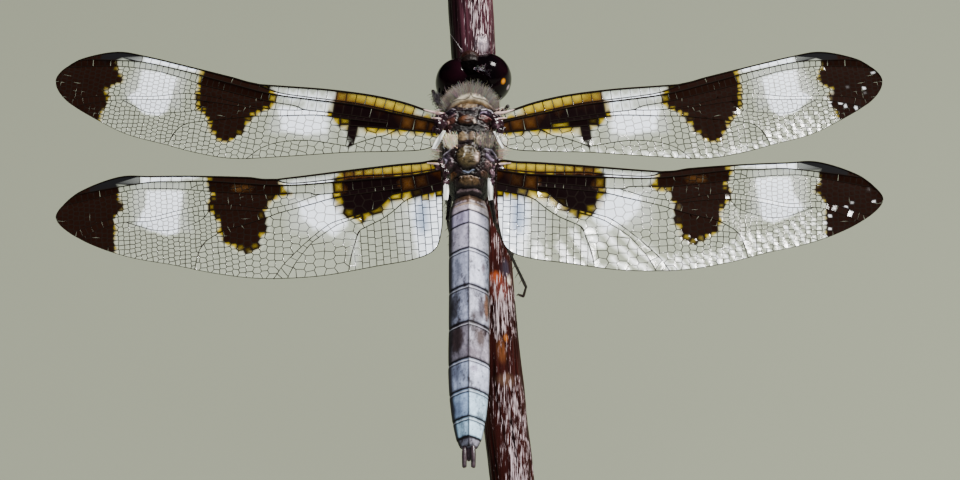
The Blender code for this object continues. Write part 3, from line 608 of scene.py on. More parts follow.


# Painted highlight: white streaks painted where the wrinkled skin near the rear edge catches the
# light; places along the wing and how far in from the edge, for the two wings on the insect's right.
PAINTED_GLEAMS = {
    "fore": ((0.0, 0.0), (12.0, 0.4), (19.0, 0.8), (29.0, 0.9), (31.5, 2.4), (35.0, 3.0), (38.0, 3.8),
        (43.0, 3.0)),
    "hind": ((1.0, 1.0), (3.0, 2.6), (6.5, 2.0), (9.0, 5.4), (13.5, 5.4), (16.0, 4.6), (18.5, 2.4),
        (25.0, 1.8), (28.0, 3.4), (31.0, 2.6), (35.0, 4.0), (41.0, 3.2)),
}
PAINTED_GLEAM_COLOUR = (0.94, 0.95, 0.97)
PAINTED_GLEAM_COVER = 0.97
GLEAM_PITCH = 1.25
# How far the streaks slant at places along the wing, and how much of them each role takes.
GLEAM_SLANT = ((4.0, 10.0, 18.0, 30.0), (0.05, 0.4, 0.75, 0.6))
GLEAM_ROLES = np.array([0.0, 0.75, 0.85, 1.0])
# Past this stretch, in the dark tip, hardly anything but the cells' middles gets the painted highlight.
TIP_BAND = (34.0, 37.0)
DARK_SPECK_SPACING = 37.0


def painted_gleam_at(plan, points, roles, dark, seed):
    """Share of painted white highlight at points of a wing; the dark bands only get painted specks of it."""
    x, y = points.T
    reach = np.interp(x, *np.array(PAINTED_GLEAMS[plan.kind]).T) - (y - plan.across("margin", x))
    slant = np.interp(x, *GLEAM_SLANT)
    bands = np.cos(2.0 * math.pi * (x + slant * y) / GLEAM_PITCH)
    broken = ripples(points, 1.6, 1.6, seed)
    wide = ripples(points, 0.35, 0.35, seed + 3.0)
    share = ease(reach, -0.4, 0.6) * ease(bands + 0.7 * broken + 0.8 * wide, 0.1, 0.5)
    share = share * GLEAM_ROLES[roles] * (1.0 - 0.9 * ease(x, *TIP_BAND) * (roles < 3))
    specks = 0.9 * (roles == 3) * ease(np.sin(x * DARK_SPECK_SPACING), 0.55, 0.8)
    return share * np.where(dark, specks, 1.0)


def inset_cells(form, cells, width):
    """Set every cell in from its border; a corner that would shoot past the middle is held back."""
    before = [[vert.co.copy() for vert in cell.verts] for cell in cells]
    bmesh.ops.inset_individual(form, faces=cells, thickness=width, use_even_offset=True)
    for cell, corners in zip(cells, before):
        middle = sum(corners, Vector()) / len(corners)
        for vert, corner in zip(cell.verts, corners):
            inwards = middle - corner
            moved = vert.co - corner
            if moved.length > width * 3.0 or moved.dot(inwards) < 0.0:
                vert.co = corner + inwards.normalized() * min(width * 2.0, inwards.length * 0.6)


def finish_piece(name, form, place, materials, replaced=()):
    """Set a shape built in millimetres in the world and make it a piece of the model."""
    bmesh.ops.transform(form, matrix=Matrix.Scale(MM, 4) @ place, verts=form.verts)
    mesh = bpy.data.meshes.new(name)
    form.to_mesh(mesh)
    form.free()
    mesh.shade_smooth()
    for material in materials:
        mesh.materials.append(material)
    piece = bpy.data.objects.new(name, mesh)
    SCENE.collection.objects.link(piece)
    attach(piece, "root")
    if replaced:
        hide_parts(*replaced)


def build_wing(name, plan, patches, relief, root_y, sweep, side, seed):
    """Make one wing: a net of cells with raised veins and a glossy skin, and its long veins."""
    form = bmesh.new()
    tint = form.verts.layers.float_color.new("tint")
    hide = form.verts.layers.float.new("cover")
    dice = random.Random(seed)
    corners = {}
    cells = []
    for ring in plan.cells:
        loop = []
        for point in ring:
            key = (round(point.x * CORNERS_PER_MM), round(point.y * CORNERS_PER_MM))
            if key not in corners:
                corners[key] = form.verts.new((point.x, point.y, 0.0))
            if corners[key] not in loop:
                loop.append(corners[key])
        if len(loop) > 2 and form.faces.get(loop) is None:
            cells.append(form.faces.new(loop))
    form.normal_update()
    bmesh.ops.reverse_faces(form, faces=[face for face in cells if face.normal.z < 0.0])
    counts = [0, len(form.verts)]
    for width in (VEIN_HALF_WIDTH, VEIN_FLANK):
        inset_cells(form, cells, width)
        counts.append(len(form.verts))
    bmesh.ops.poke(form, faces=cells, center_mode="MEAN_WEIGHTED")
    roles = np.repeat((0, 1, 2, 3), np.diff(counts + [len(form.verts)]))
    form.verts.ensure_lookup_table()
    verts = list(form.verts)
    points = np.array([vert.co[:2] for vert in verts])
    x, y = points.T
    heights = wing_relief(plan, relief, points)
    pleated = ease(-y, *PLEAT_START[plan.kind])
    lively = np.maximum(pleated * 0.7, ease(x, *TIP_WRINKLES))
    phase = 2.0 * math.pi * x / PLEAT_WIDTH[plan.kind] + 5.0 * ripples(points, 0.35, 0.2, seed + 5.0)
    heights += PLEAT_HEIGHT * pleated * np.sin(phase) * (roles > 0)
    colours, covers = paint_wing(points, roles, patches, seed)
    # Only the wings on the insect's right get the painted highlight streaks.
    if side > 0:
        share = painted_gleam_at(plan, points, roles, colours[:, 0] < 0.1, seed)
        colours = mixed(colours, PAINTED_GLEAM_COLOUR, share[:, None])
        covers = mixed(covers, PAINTED_GLEAM_COVER, share)
    for vert, role, height, colour, cover, life in zip(verts, roles, heights, colours, covers, lively):
        dark = colour[0] < 0.02
        if role < 2:
            pale = 0.3 * ease(colour[2], 0.5, 0.9) * cover * (vert.co.x > 10.0)
            colour = np.array(VEIN_COLOUR) + pale
            cover = 0.96
        vert.co.z = height
        if role == 0:
            vert.co.z += VEIN_CREST * (0.3 if dark else 1.0)
        elif role == 3:
            wrinkle = WRINKLE if dice.random() < 0.12 + 0.5 * life else CALM_WRINKLE
            vert.co.z += dice.uniform(-wrinkle, wrinkle)
        vert[tint] = (*colour, 1.0)
        vert[hide] = 1.0 - math.sqrt(1.0 - min(cover, 0.998))
    # Faces that are nearly black all over get the veins' duller horn.
    for face in form.faces:
        face.material_index = int(all(vert[tint][0] < NEARLY_BLACK for vert in face.verts))
    bmesh.ops.solidify(form, geom=form.faces[:], thickness=SKIN_THICKNESS)
    # Long veins are round rods laid along the net.
    paths = []
    for vein, width in LONG_VEINS.items():
        if vein not in plan.lines:
            continue
        line = plan.lines[vein]
        if vein not in ("costa", "margin"):
            inside = line[:, 1] > plan.across("margin", line[:, 0]) - 0.05
            inside &= line[:, 1] < plan.across("costa", line[:, 0]) + 0.05
            line = line[inside]
        rise = wing_relief(plan, relief, line)
        thin = 1.0 - 0.55 * np.clip(line[:, 0] / plan.span, 0.0, 1.0)
        paths.append([((x, y, z + 0.01), width * taper) for (x, y), z, taper in zip(line, rise, thin)])
    for vert in add_tubes(form, paths, 6, 1):
        vert[tint] = (*VEIN_COLOUR, 1.0)
        vert[hide] = 1.0
    if side < 0:
        bmesh.ops.scale(form, vec=(-1.0, 1.0, 1.0), verts=form.verts)
        bmesh.ops.reverse_faces(form, faces=form.faces[:])
    turn = Matrix.Rotation(side * sweep, 4, "Z") @ Matrix.Rotation(side * WING_DROOP, 4, "Y")
    place = INSECT @ Matrix.Translation((side * WING_ROOT_X, root_y, WING_ROOT_Z)) @ turn
    finish_piece(name + "_net", form, place, [membrane, vein_horn], [name])


def layer(tree, name):
    """A node that reads one of a piece's own painted layers."""
    node = tree.nodes.new("ShaderNodeAttribute")
    node.attribute_name = name
    return node.outputs["Color" if name == "tint" else "Fac"]


membrane, tree, shader = new_material("wing_membrane", Roughness=0.12, IOR=1.56)
tree.links.new(layer(tree, "tint"), shader.inputs["Base Color"])
tree.links.new(layer(tree, "cover"), shader.inputs["Alpha"])
vein_horn, tree, shader = new_material("wing_vein", Roughness=0.6, IOR=1.06)
tree.links.new(layer(tree, "tint"), shader.inputs["Base Color"])
# Each wing: plan, patches, relief, place of its hinge along the body, sweep, side and seed.
WINGS = {
    "wing_fore_left": (fore_plan, FORE_PATCHES, FORE_RELIEF, 1.3, math.radians(8.4), -1, 1),
    "wing_fore_right": (fore_plan, FORE_PATCHES, FORE_RELIEF, 1.3, math.radians(8.4), 1, 2),
    "wing_hind_left": (hind_plan, HIND_PATCHES, HIND_RELIEF, -4.7, math.radians(-4.6), -1, 3),
    "wing_hind_right": (hind_plan, HIND_PATCHES, HIND_RELIEF, -4.7, math.radians(-1.6), 1, 4),
}
for name, wing in WINGS.items():
    build_wing(name, *wing)

# ---------------------------------------------------------------------------------------------
# Twig: the cut length of dry stem that the insect grips. The bark is thin, wrinkled lengthwise
# and glossy, with oval leaf scars; both ends are cut across and show their rings.
# ---------------------------------------------------------------------------------------------
TWIG_RADIUS = 2.6
TWIG_TOP = 20.0
TWIG_BOTTOM = -46.0
TWIG_CUT_HEIGHT = 12.0
# Each scar: height on the twig, angle from the front towards the right, half height and width.
TWIG_SCARS = ((-15.0, 52.0, 0.75, 0.42), (13.0, 26.0, 0.45, 0.62), (-30.0, 140.0, 0.8, 0.5))
# Stains: height, angle, half height, half width, colour and strength.
TWIG_STAINS = (
    (-13.6, 44.0, 1.1, 0.7, (0.035, 0.03, 0.045), 0.8),
    (-14.7, 12.0, 0.75, 0.8, (0.34, 0.06, 0.012), 0.8),
    (-16.2, 22.0, 1.5, 1.2, (0.22, 0.045, 0.03), 0.55),
    (-21.7, 24.0, 0.45, 0.3, (0.42, 0.13, 0.02), 0.85),
    (-23.2, 8.0, 1.5, 0.6, (0.22, 0.07, 0.02), 0.5),
    (-26.6, 15.0, 0.8, 1.2, (0.30, 0.17, 0.10), 0.25),
    (-15.0, 52.0, 0.6, 0.33, (0.72, 0.62, 0.52), 0.95),
    (12.4, 26.0, 0.9, 0.8, (0.34, 0.29, 0.33), 0.6),
    (13.25, 26.0, 0.1, 0.6, (0.75, 0.7, 0.72), 0.9),
    (12.85, 26.0, 0.08, 0.5, (0.7, 0.66, 0.68), 0.8),
    (-30.0, 140.0, 0.6, 0.35, (0.66, 0.56, 0.48), 0.9),
)
# How dense the pale streaks of painted highlight are at heights on the twig.
HIGHLIGHT_STREAK_DENSITY = ((-50.0, 0.8), (-44.0, 0.75), (-37.0, 0.6), (-27.0, 0.5), (-25.5, 0.12), (-22.5, 0.1),
        (-20.5, 0.6), (-16.5, 0.7), (-14.0, 0.1), (-8.0, 0.2), (8.0, 0.5), (20.0, 0.55))
# Bark colours below and above the insect, from the hollows to the ridges.
LOWER_BARK = np.array(((0.008, 0.002, 0.002), (0.034, 0.007, 0.0055)))
UPPER_BARK = np.array(((0.006, 0.002, 0.004), (0.045, 0.014, 0.02)))


def twig_axis(z):
    """The middle of the twig at a height in its own frame."""
    drop = TWIG_TOP - z
    return Vector((0.0544 * drop + 0.00054 * drop * drop, 0.0, z))


def table_at(table, place):
    """Values of a table at a place along its first column, which may run downwards."""
    first, *columns = zip(*sorted(table))
    return [float(np.interp(place, first, column)) for column in columns]


def rolled_skin(form, around, along, place):
    """Add a closed skin: a grid rolled up on a function of (turn, way), both from 0 to 1."""
    grid = bmesh.ops.create_grid(form, x_segments=around, y_segments=along, size=0.5)["verts"]
    for vert in grid:
        turn, way = np.clip(np.array(vert.co[:2]) + 0.5, 0.0, 1.0)
        vert.co = place(0.0 if turn > 0.99999 else turn, way)
    bmesh.ops.remove_doubles(form, verts=grid, dist=1e-4)
    bmesh.ops.holes_fill(form, edges=[edge for edge in form.edges if edge.is_boundary], sides=0)
    bmesh.ops.recalc_face_normals(form, faces=form.faces[:])


def trim(form, place, outwards):
    """Cut off what lies beyond a plane and close the cut."""
    parts = form.verts[:] + form.edges[:] + form.faces[:]
    cut = bmesh.ops.bisect_plane(form, geom=parts, plane_co=place, plane_no=outwards, clear_outer=True)
    edges = [part for part in cut["geom_cut"] if isinstance(part, bmesh.types.BMEdge)]
    bmesh.ops.edgeloop_fill(form, edges=edges)
    bmesh.ops.recalc_face_normals(form, faces=form.faces[:])


def bell(value, width):
    """A smooth hump, 1 at zero and fading over a width."""
    return math.exp(-(value / width) ** 2)


def bark_folds(out, z):
    """How raised a place of the bark is: lengthwise wrinkles of two sizes that wander a little."""
    wander = 0.5 * ripple(out.x, out.y, z * 0.1 + 11.0)
    folds = ripple(out.x * 4.6 + wander, out.y * 4.6, z * 0.07 + 7.0)
    fine = ripple(out.x * 11.0 + wander * 2.5, out.y * 11.0, z * 0.2 + 3.0)
    return 0.45 - abs(folds) * 1.5 + fine * 0.95


def spot_distance(x, y, middle_x, middle_y, half_width, half_length):
    """How far a place is from the middle of an oval spot, in the spot's own half sizes."""
    return math.hypot((x - middle_x) / half_width, (y - middle_y) / half_length)


def around_twig(out, z, height, degrees, tall, wide):
    """How far a place is from a mark on the bark, in the mark's own half sizes."""
    turn = math.atan2(out.x, -out.y) - math.radians(degrees)
    return math.hypot((z - height) / tall, math.atan2(math.sin(turn), math.cos(turn)) * TWIG_RADIUS / wide)


def bark_place(turn, way):
    """A place on the bark; the turn starts at the back."""
    z = TWIG_TOP + (TWIG_BOTTOM - TWIG_TOP) * way
    angle = turn * 2.0 * math.pi
    out = Vector((-math.sin(angle), math.cos(angle), 0.0))
    broad = ripple(out.x * 1.6, out.y * 1.6, z * 0.05)
    reach = TWIG_RADIUS + broad * 0.08 + bark_folds(out, z) * 0.1 - 0.03
    # A scar is a raised lip round a flat hollow.
    for mark in TWIG_SCARS:
        away = around_twig(out, z, *mark)
        reach += 0.13 * bell(away - 1.0, 0.3) - 0.1 * math.exp(-(away / 0.7) ** 4)
    return twig_axis(z) + out * reach


form = bmesh.new()
rolled_skin(form, 190, 270, bark_place)
tint = form.verts.layers.float_color.new("tint")
# Its shine layer says where the pale streaks of painted highlight show.
shine = form.verts.layers.float.new("shine")
for vert in form.verts:
    z = vert.co.z
    out = (vert.co - twig_axis(z)).normalized()
    raised = bark_folds(out, z)
    low, high = LOWER_BARK if z < 0.0 else UPPER_BARK
    patchy = ripple(out.x * 1.4, out.y * 1.4, z * 0.22 + 5.0)
    colour = mixed(low, high, ease(raised, -0.9, 0.6)) * (1.0 + 0.5 * patchy)
    for height, degrees, tall, wide, stain, strength in TWIG_STAINS:
        away = around_twig(out, z, height, degrees, tall, wide)
        if away < 1.8:
            colour = mixed(colour, stain, strength * (1.0 - ease(away + 0.25 * raised, 0.5, 1.3)))
    density = table_at(HIGHLIGHT_STREAK_DENSITY, z)[0]
    broken = ripple(out.x * 3.0, out.y * 3.0, z * 0.8) * 0.35
    # The side towards the light gets more streaks of painted highlight; the left side is darkened with
    # painted shade, less so below the insect.
    lit = bell(math.degrees(math.atan2(out.x, -out.y)) - 22.0, 38.0)
    shaded = ease(-out.x, 0.3, 0.9) * (1.0 if z > 0.0 else 0.6)
    vert[tint] = (*np.maximum(colour * (1.0 - 0.8 * shaded), 0.002), 1.0)
    vert[shine] = 0.22 * (density - 0.55) + 0.1 * lit + 0.2 * broken - 0.02 - 0.14 * shaded
FROM_WORLD = TWIG.inverted()
trim(form, FROM_WORLD @ Vector((0.0, 0.0, TWIG_CUT_HEIGHT)), FROM_WORLD.to_3x3() @ Vector((0.0, 0.0, -1.0)))
# The two cut ends are the only faces with many corners.
for face in form.faces:
    if len(face.verts) > 8:
        face.material_index = 1


def add_node(tree, kind, inputs, **settings):
    """Add a shader node; each of its inputs gets a value or the output of another node."""
    node = tree.nodes.new("ShaderNode" + kind)
    for setting, value in settings.items():
        setattr(node, setting, value)
    for socket, value in inputs.items():
        if isinstance(value, bpy.types.NodeSocket):
            tree.links.new(value, node.inputs[socket])
        else:
            node.inputs[socket].default_value = value
    return node


def mapped(tree, size, turn=(0.0, 0.0, 0.0), middle=(0.0, 0.0, 0.0)):
    """Object coordinates in a moved and turned frame, counted in steps of a size in metres."""
    place = add_node(tree, "TexCoord", {}).outputs["Object"]
    inputs = {"Vector": place, "Location": middle, "Rotation": turn, "Scale": size}
    return add_node(tree, "Mapping", inputs, vector_type="TEXTURE").outputs["Vector"]


def per_metre(*counts):
    """Sizes of a pattern's steps from their number in a metre along three axes, or along all."""
    return [1.0 / count for count in (counts * 3)[:3]]


def span_node(tree, value, start, end, low=0.0, high=1.0):
    """A value that runs evenly from low to high while another runs from start to end."""
    inputs = {"Value": value, "From Min": start, "From Max": end, "To Min": low, "To Max": high}
    return add_node(tree, "MapRange", inputs).outputs["Result"]


def mix_node(tree, share, first, second, blend="MIX"):
    """A mix of two colours, given as outputs or plain values."""
    inputs = {0: share, 6: first, 7: second}
    return add_node(tree, "Mix", inputs, data_type="RGBA", blend_type=blend).outputs[2]


def ramp_node(tree, value, stops):
    """A colour ramp with (position, colour) stops."""
    node = add_node(tree, "ValToRGB", {"Fac": value})
    elements = node.color_ramp.elements
    while len(elements) < len(stops):
        elements.new(0.5)
    for element, (position, colour) in zip(elements, stops):
        element.position = position
        element.color = (*colour, 1.0)
    return node.outputs["Color"]


# The grain that every shell, hair, wood and metal shares: a fine uneven pattern that shades a
# ground between two colours. It puts out the shaded colour and the pattern itself.
GRAIN_INPUTS = {"Turn": "Vector", "Size": "Vector", "Detail": "Float", "Roughness": "Float", "From": "Float",
        "To": "Float", "Low": "Color", "High": "Color", "Ground": "Color", "Share": "Float"}
grain = bpy.data.node_groups.new("grain", "ShaderNodeTree")
for socket, kind in GRAIN_INPUTS.items():
    grain.interface.new_socket(socket, in_out="INPUT", socket_type="NodeSocket" + kind)
for socket, kind in (("Colour", "Color"), ("Pattern", "Float")):
    grain.interface.new_socket(socket, in_out="OUTPUT", socket_type="NodeSocket" + kind)
given = grain.nodes.new("NodeGroupInput").outputs
cells = {"Vector": mapped(grain, given["Size"], given["Turn"]), "Scale": 1.0, "Detail": given["Detail"],
        "Roughness": given["Roughness"]}
pattern = add_node(grain, "TexNoise", cells).outputs["Fac"]
tone = mix_node(grain, span_node(grain, pattern, given["From"], given["To"]), given["Low"], given["High"])
result = grain.nodes.new("NodeGroupOutput").inputs
grain.links.new(mix_node(grain, given["Share"], given["Ground"], tone, "MULTIPLY"), result["Colour"])
grain.links.new(pattern, result["Pattern"])


WHITE = (1.0, 1.0, 1.0, 1.0)
BLACK_TO_WHITE = ((0.0, (0.0, 0.0, 0.0)), (1.0, (1.0, 1.0, 1.0)))


def place_grain(tree, size, detail, roughness, stops=BLACK_TO_WHITE, ground=WHITE, share=1.0,
        turn=(0.0, 0.0, 0.0)):
    """Put the grain in a material; the stops are the pattern's values for the two colours."""
    (start, low), (end, high) = stops
    inputs = {"Turn": turn, "Size": size, "Detail": detail, "Roughness": roughness, "From": start, "To": end,
            "Low": (*low, 1.0), "High": (*high, 1.0), "Ground": ground, "Share": share}
    node = add_node(tree, "Group", inputs, node_tree=grain)
    return node.outputs["Colour"], node.outputs["Pattern"]


def feed(shader, **sources):
    """Join outputs of nodes to a shader's sockets."""
    for socket, source in sources.items():
        shader.id_data.links.new(source, shader.inputs[socket.replace("_", " ")])


def bump(shader, height, strength, distance):
    """Give a shader relief from a pattern; the distance is in metres."""
    inputs = {"Height": height, "Strength": strength, "Distance": distance}
    feed(shader, Normal=add_node(shader.id_data, "Bump", inputs).outputs["Normal"])


bark, tree, shader = new_material("bark", Roughness=0.36, IOR=1.2)
ALONG_TWIG = (-TWIG_LEAN, 0.0, 0.0)
stops = ((0.3, (0.45, 0.42, 0.42)), (0.65, (1.25, 1.25, 1.25)))
wrinkles = per_metre(2600.0, 2600.0, 300.0)
painted, fibres = place_grain(tree, wrinkles, 5.0, 0.65, stops, layer(tree, "tint"), 0.85, ALONG_TWIG)
# Pale streaks where the fine grain and the shine layer run high: painted highlight.
glints = place_grain(tree, per_metre(9500.0, 9500.0, 480.0), 3.0, 0.55, turn=ALONG_TWIG)[1]
dense = add_node(tree, "Math", {0: glints, 1: layer(tree, "shine")}, operation="ADD").outputs["Value"]
colour = mix_node(tree, span_node(tree, dense, 0.6, 0.68), painted, (0.70, 0.54, 0.56, 1.0))
feed(shader, Base_Color=colour, Roughness=span_node(tree, fibres, 0.35, 0.65, 0.55, 0.24))
bump(shader, fibres, 0.6, 0.00012)
cut_wood, tree, shader = new_material("cut_wood", Roughness=0.75)
centred = mapped(tree, per_metre(700.0), ALONG_TWIG, (TWIG @ twig_axis(TWIG_TOP)) * MM)
inputs = {"Vector": centred, "Scale": 1.0, "Distortion": 2.0}
rings = add_node(tree, "TexWave", inputs, wave_type="RINGS", rings_direction="Z").outputs["Fac"]
feed(shader, Base_Color=ramp_node(tree, rings, ((0.2, (0.42, 0.29, 0.17)), (0.8, (0.62, 0.49, 0.33)))))
finish_piece("perch_bark", form, TWIG, [bark, cut_wood], ["perch_stem"])

# ---------------------------------------------------------------------------------------------
# Abdomen: ten overlapping rings of thin shell, keeled along the back and dusted with a pale
# blue wax that is rubbed off in places. Fine dark lines mark the joints, most of them double.
# ---------------------------------------------------------------------------------------------
ABDOMEN_JOINTS = (-6.9, -8.6, -10.2, -13.3, -17.9, -22.5, -27.0, -30.75, -34.1, -36.45, -37.35)
ABDOMEN_FRONT = -6.3
# The joints bend back towards the sides by this share.
LINE_SKEW = 0.1
KEEL_HEIGHT = 0.09
KEEL_WIDTH = 0.14
# The grooves' place and width are shares of the half width.
GROOVE_DEPTH = 0.07
GROOVE_PLACE = 0.62
GROOVE_WIDTH = 0.12
# Sizes at places along it: half width, top and bottom.
ABDOMEN_SIZES = ((-6.3, 1.7, 1.75, -1.1), (-6.9, 2.0, 2.0, -1.3), (-8.5, 2.3, 2.2, -1.6),
        (-12.0, 2.32, 2.2, -1.6), (-20.0, 2.3, 2.1, -1.4), (-28.0, 2.36, 2.0, -1.4),
        (-31.0, 2.24, 1.9, -1.35), (-34.1, 1.9, 1.6, -1.2), (-36.45, 1.42, 1.25, -1.0),
        (-37.35, 0.98, 0.95, -0.8))


def superellipse(angle, half_width, top, bottom, middle, top_power, bottom_power):
    """Across and height of a point on a body ring; the angle starts at the right side."""
    upper = math.sin(angle) >= 0.0
    power = 2.0 / (top_power if upper else bottom_power)
    reach = (top - middle) if upper else (middle - bottom)
    across = math.copysign(abs(math.cos(angle)) ** power, math.cos(angle)) * half_width
    return across, middle + math.copysign(abs(math.sin(angle)) ** power, math.sin(angle)) * reach


def abdomen_joint(y):
    """Segment at a place, share of it passed, and distances from its front and rear joints."""
    for number, (front, rear) in enumerate(zip(ABDOMEN_JOINTS, ABDOMEN_JOINTS[1:])):
        if y >= rear:
            return number, (front - y) / (front - rear), front - y, y - rear
    return 9, 1.0, 1.2, 0.0


def abdomen_place(turn, way):
    """A place on the abdomen's skin; the turn starts underneath."""
    y = ABDOMEN_FRONT + (ABDOMEN_JOINTS[-1] - ABDOMEN_FRONT) * way
    angle = -0.5 * math.pi + turn * 2.0 * math.pi
    half, top, bottom = table_at(ABDOMEN_SIZES, y)
    share, past, before = abdomen_joint(y + LINE_SKEW * half * abs(math.cos(angle)))[1:]
    # Each ring is narrowest at its joints; the skin is drawn in to close its two ends.
    swell = 0.994 + 0.012 * math.sin(math.pi * share) - 0.03 * bell(past, 0.2) - 0.02 * bell(before, 0.1)
    if way in (0.0, 1.0):
        swell = 0.55
    x, z = superellipse(angle, half * swell, top * swell, bottom * swell, 0.0, 1.5, 2.5)
    # The back has a keel along its middle and a shallow groove on either side.
    back = 1.0 if z > 0.0 else 0.0
    z += back * KEEL_HEIGHT * bell(x, KEEL_WIDTH)
    z += 0.03 * ripple(x * 0.9, y * 0.55, z * 0.9)
    z -= back * GROOVE_DEPTH * bell(abs(x) / half - GROOVE_PLACE, GROOVE_WIDTH)
    return Vector((x, y, z))


form = bmesh.new()
rolled_skin(form, 128, 560, abdomen_place)
tint = form.verts.layers.float_color.new("tint")
# Wax colours of the segments, on the left face of the keel, darkened with painted shade, and on the
# right, lightened with painted light, and how patchy.
SEGMENT_WAX_LIT_AND_SHADED = (
    ((0.34, 0.28, 0.33), (0.55, 0.48, 0.50), 0.3), ((0.28, 0.25, 0.36), (0.52, 0.49, 0.60), 0.3),
    ((0.27, 0.25, 0.32), (0.54, 0.53, 0.62), 0.4), ((0.22, 0.23, 0.31), (0.42, 0.43, 0.53), 0.6),
    ((0.15, 0.16, 0.22), (0.25, 0.25, 0.31), 0.95), ((0.09, 0.08, 0.10), (0.17, 0.15, 0.18), 1.0),
    ((0.18, 0.21, 0.30), (0.34, 0.36, 0.46), 0.6), ((0.17, 0.24, 0.36), (0.36, 0.50, 0.63), 0.45),
    ((0.22, 0.34, 0.45), (0.40, 0.56, 0.68), 0.4), ((0.10, 0.10, 0.13), (0.15, 0.14, 0.17), 0.8),
)
# Places where the wax is rubbed off: across, along, half sizes, colour and strength.
RUBBED = (
    (1.6, -15.6, 0.3, 0.85, (0.10, 0.045, 0.05), 0.75),
    (1.15, -16.0, 0.14, 0.22, (0.015, 0.012, 0.016), 0.95),
    (2.0, -20.0, 0.35, 1.9, (0.11, 0.045, 0.015), 0.9), (1.45, -20.6, 0.4, 1.5, (0.03, 0.02, 0.024), 0.75),
    (1.0, -21.6, 0.9, 0.7, (0.035, 0.024, 0.028), 0.7), (0.3, -24.0, 0.3, 0.9, (0.4, 0.38, 0.46), 0.6),
    (-1.65, -20.2, 0.65, 2.2, (0.010, 0.008, 0.011), 0.85),
    (-1.4, -24.4, 0.95, 1.9, (0.016, 0.008, 0.008), 0.9),
    (1.3, -24.4, 0.6, 1.4, (0.05, 0.032, 0.026), 0.85), (0.5, -26.3, 0.9, 0.8, (0.05, 0.03, 0.045), 0.65),
    (-1.4, -28.7, 0.7, 1.5, (0.05, 0.055, 0.09), 0.65), (-1.2, -33.0, 0.8, 1.1, (0.05, 0.06, 0.11), 0.6),
    (-1.4, -16.0, 0.5, 1.8, (0.06, 0.065, 0.10), 0.55), (0.6, -28.3, 0.5, 0.5, (0.2, 0.14, 0.22), 0.5),
    (0.0, -6.75, 3.0, 0.8, (0.075, 0.038, 0.014), 0.95), (0.0, -7.75, 3.0, 0.16, (0.24, 0.16, 0.10), 0.85),
    (0.0, -7.15, 3.0, 0.07, (0.02, 0.009, 0.005), 0.8), (0.0, -7.55, 3.0, 0.07, (0.02, 0.009, 0.005), 0.8),
    (0.0, -36.55, 3.0, 0.2, (0.006, 0.005, 0.007), 0.9),
)
# Segments whose front joint has a second fine line behind it.
DOUBLE_LINES = (3, 4, 5, 6, 7, 8)
BARE_SHELL = (0.02, 0.013, 0.016)
# The flanks are dark, the left one further in and more so with painted shade: where that starts and
# ends, as shares of the half width, and how much.
FLANK_SHELL_AND_SHADE = (0.010, 0.008, 0.010)
FLANK_AMBER = (0.24, 0.12, 0.02)
LEFT_FLANK = (0.72, 0.9, 0.95)
RIGHT_FLANK = (0.9, 1.0, 0.75)
for vert in form.verts:
    x, y, z = vert.co
    half = table_at(ABDOMEN_SIZES, y)[0]
    number, share, past, before = abdomen_joint(y + LINE_SKEW * abs(x))
    # The right face of the keel gets the lighter colour and the left the darker: painted light and shade.
    right = ease(x, -0.1, 0.1)
    colour = mixed(np.array(SEGMENT_WAX_LIT_AND_SHADED[number][0]), SEGMENT_WAX_LIT_AND_SHADED[number][1], right)
    patchy = ripple(x * 1.1 + 3.0, y * 0.45, z) + 0.6 * ripple(x * 3.2, y * 1.5, z * 2.0)
    patchy += 0.5 * ripple(x * 8.0, y * 4.0, z * 5.0)
    colour = colour * max(0.05, 1.0 + SEGMENT_WAX_LIT_AND_SHADED[number][2] * patchy)
    for *spot, stain, strength in RUBBED:
        away = spot_distance(x, y, *spot)
        if away < 1.6 and z > 0.0:
            colour = mixed(colour, stain, strength * (1.0 - ease(away + 0.3 * patchy, 0.45, 1.2)))
    speck = ripple(x * 4.5, y * 6.0, z * 4.5)
    colour = colour * (1.0 - 0.55 * ease(speck, 0.42, 0.6))
    colour = mixed(colour, BARE_SHELL, ease(-patchy, 0.25, 0.75) * min(SEGMENT_WAX_LIT_AND_SHADED[number][2], 0.85))
    start, end, strength = LEFT_FLANK if x < 0.0 else RIGHT_FLANK
    colour = mixed(colour, FLANK_SHELL_AND_SHADE, strength * ease(abs(x) / half, start, end))
    if abs(x) > 0.8 * half and 1 < number < 8 and -0.75 < z < 0.25:
        colour = mixed(colour, FLANK_AMBER, 0.8 * bell(share - 0.45, 0.3) * bell(z + 0.25, 0.3))
    # The keel and the joints are dark lines.
    keel = bell(x, 0.09) * (0.97 if z > 0.0 and number > 0 else 0.0)
    broad = 0.22 if number in DOUBLE_LINES else 0.12
    line = bell(past, broad) if number > 0 else 0.0
    line = max(line, bell(before, broad) if number < 9 else 0.0)
    if number in DOUBLE_LINES:
        colour = mixed(colour, (0.6, 0.6, 0.68), 0.5 * bell(past - 0.32, 0.05))
        line = max(line, 0.95 * bell(past - 0.47, 0.11))
    colour = mixed(colour, (0.004, 0.003, 0.005), max(keel, line))
    colour = mixed(colour, (0.06, 0.045, 0.04), ease(-z, 0.5, 0.9))
    vert[tint] = (*np.maximum(colour, 0.003), 1.0)


def grained_material(name, count, detail, roughness, stops, share=None, relief=None, **finish):
    """A material with an even grain; with a share the grain lies on the painted colours."""
    material, tree, shader = new_material(name, **finish)
    ground = {} if share is None else {"ground": layer(tree, "tint"), "share": share}
    colour, pattern = place_grain(tree, per_metre(count), detail, roughness, stops, **ground)
    feed(shader, Base_Color=colour)
    if relief:
        bump(shader, pattern, *relief)
    return material, tree, shader


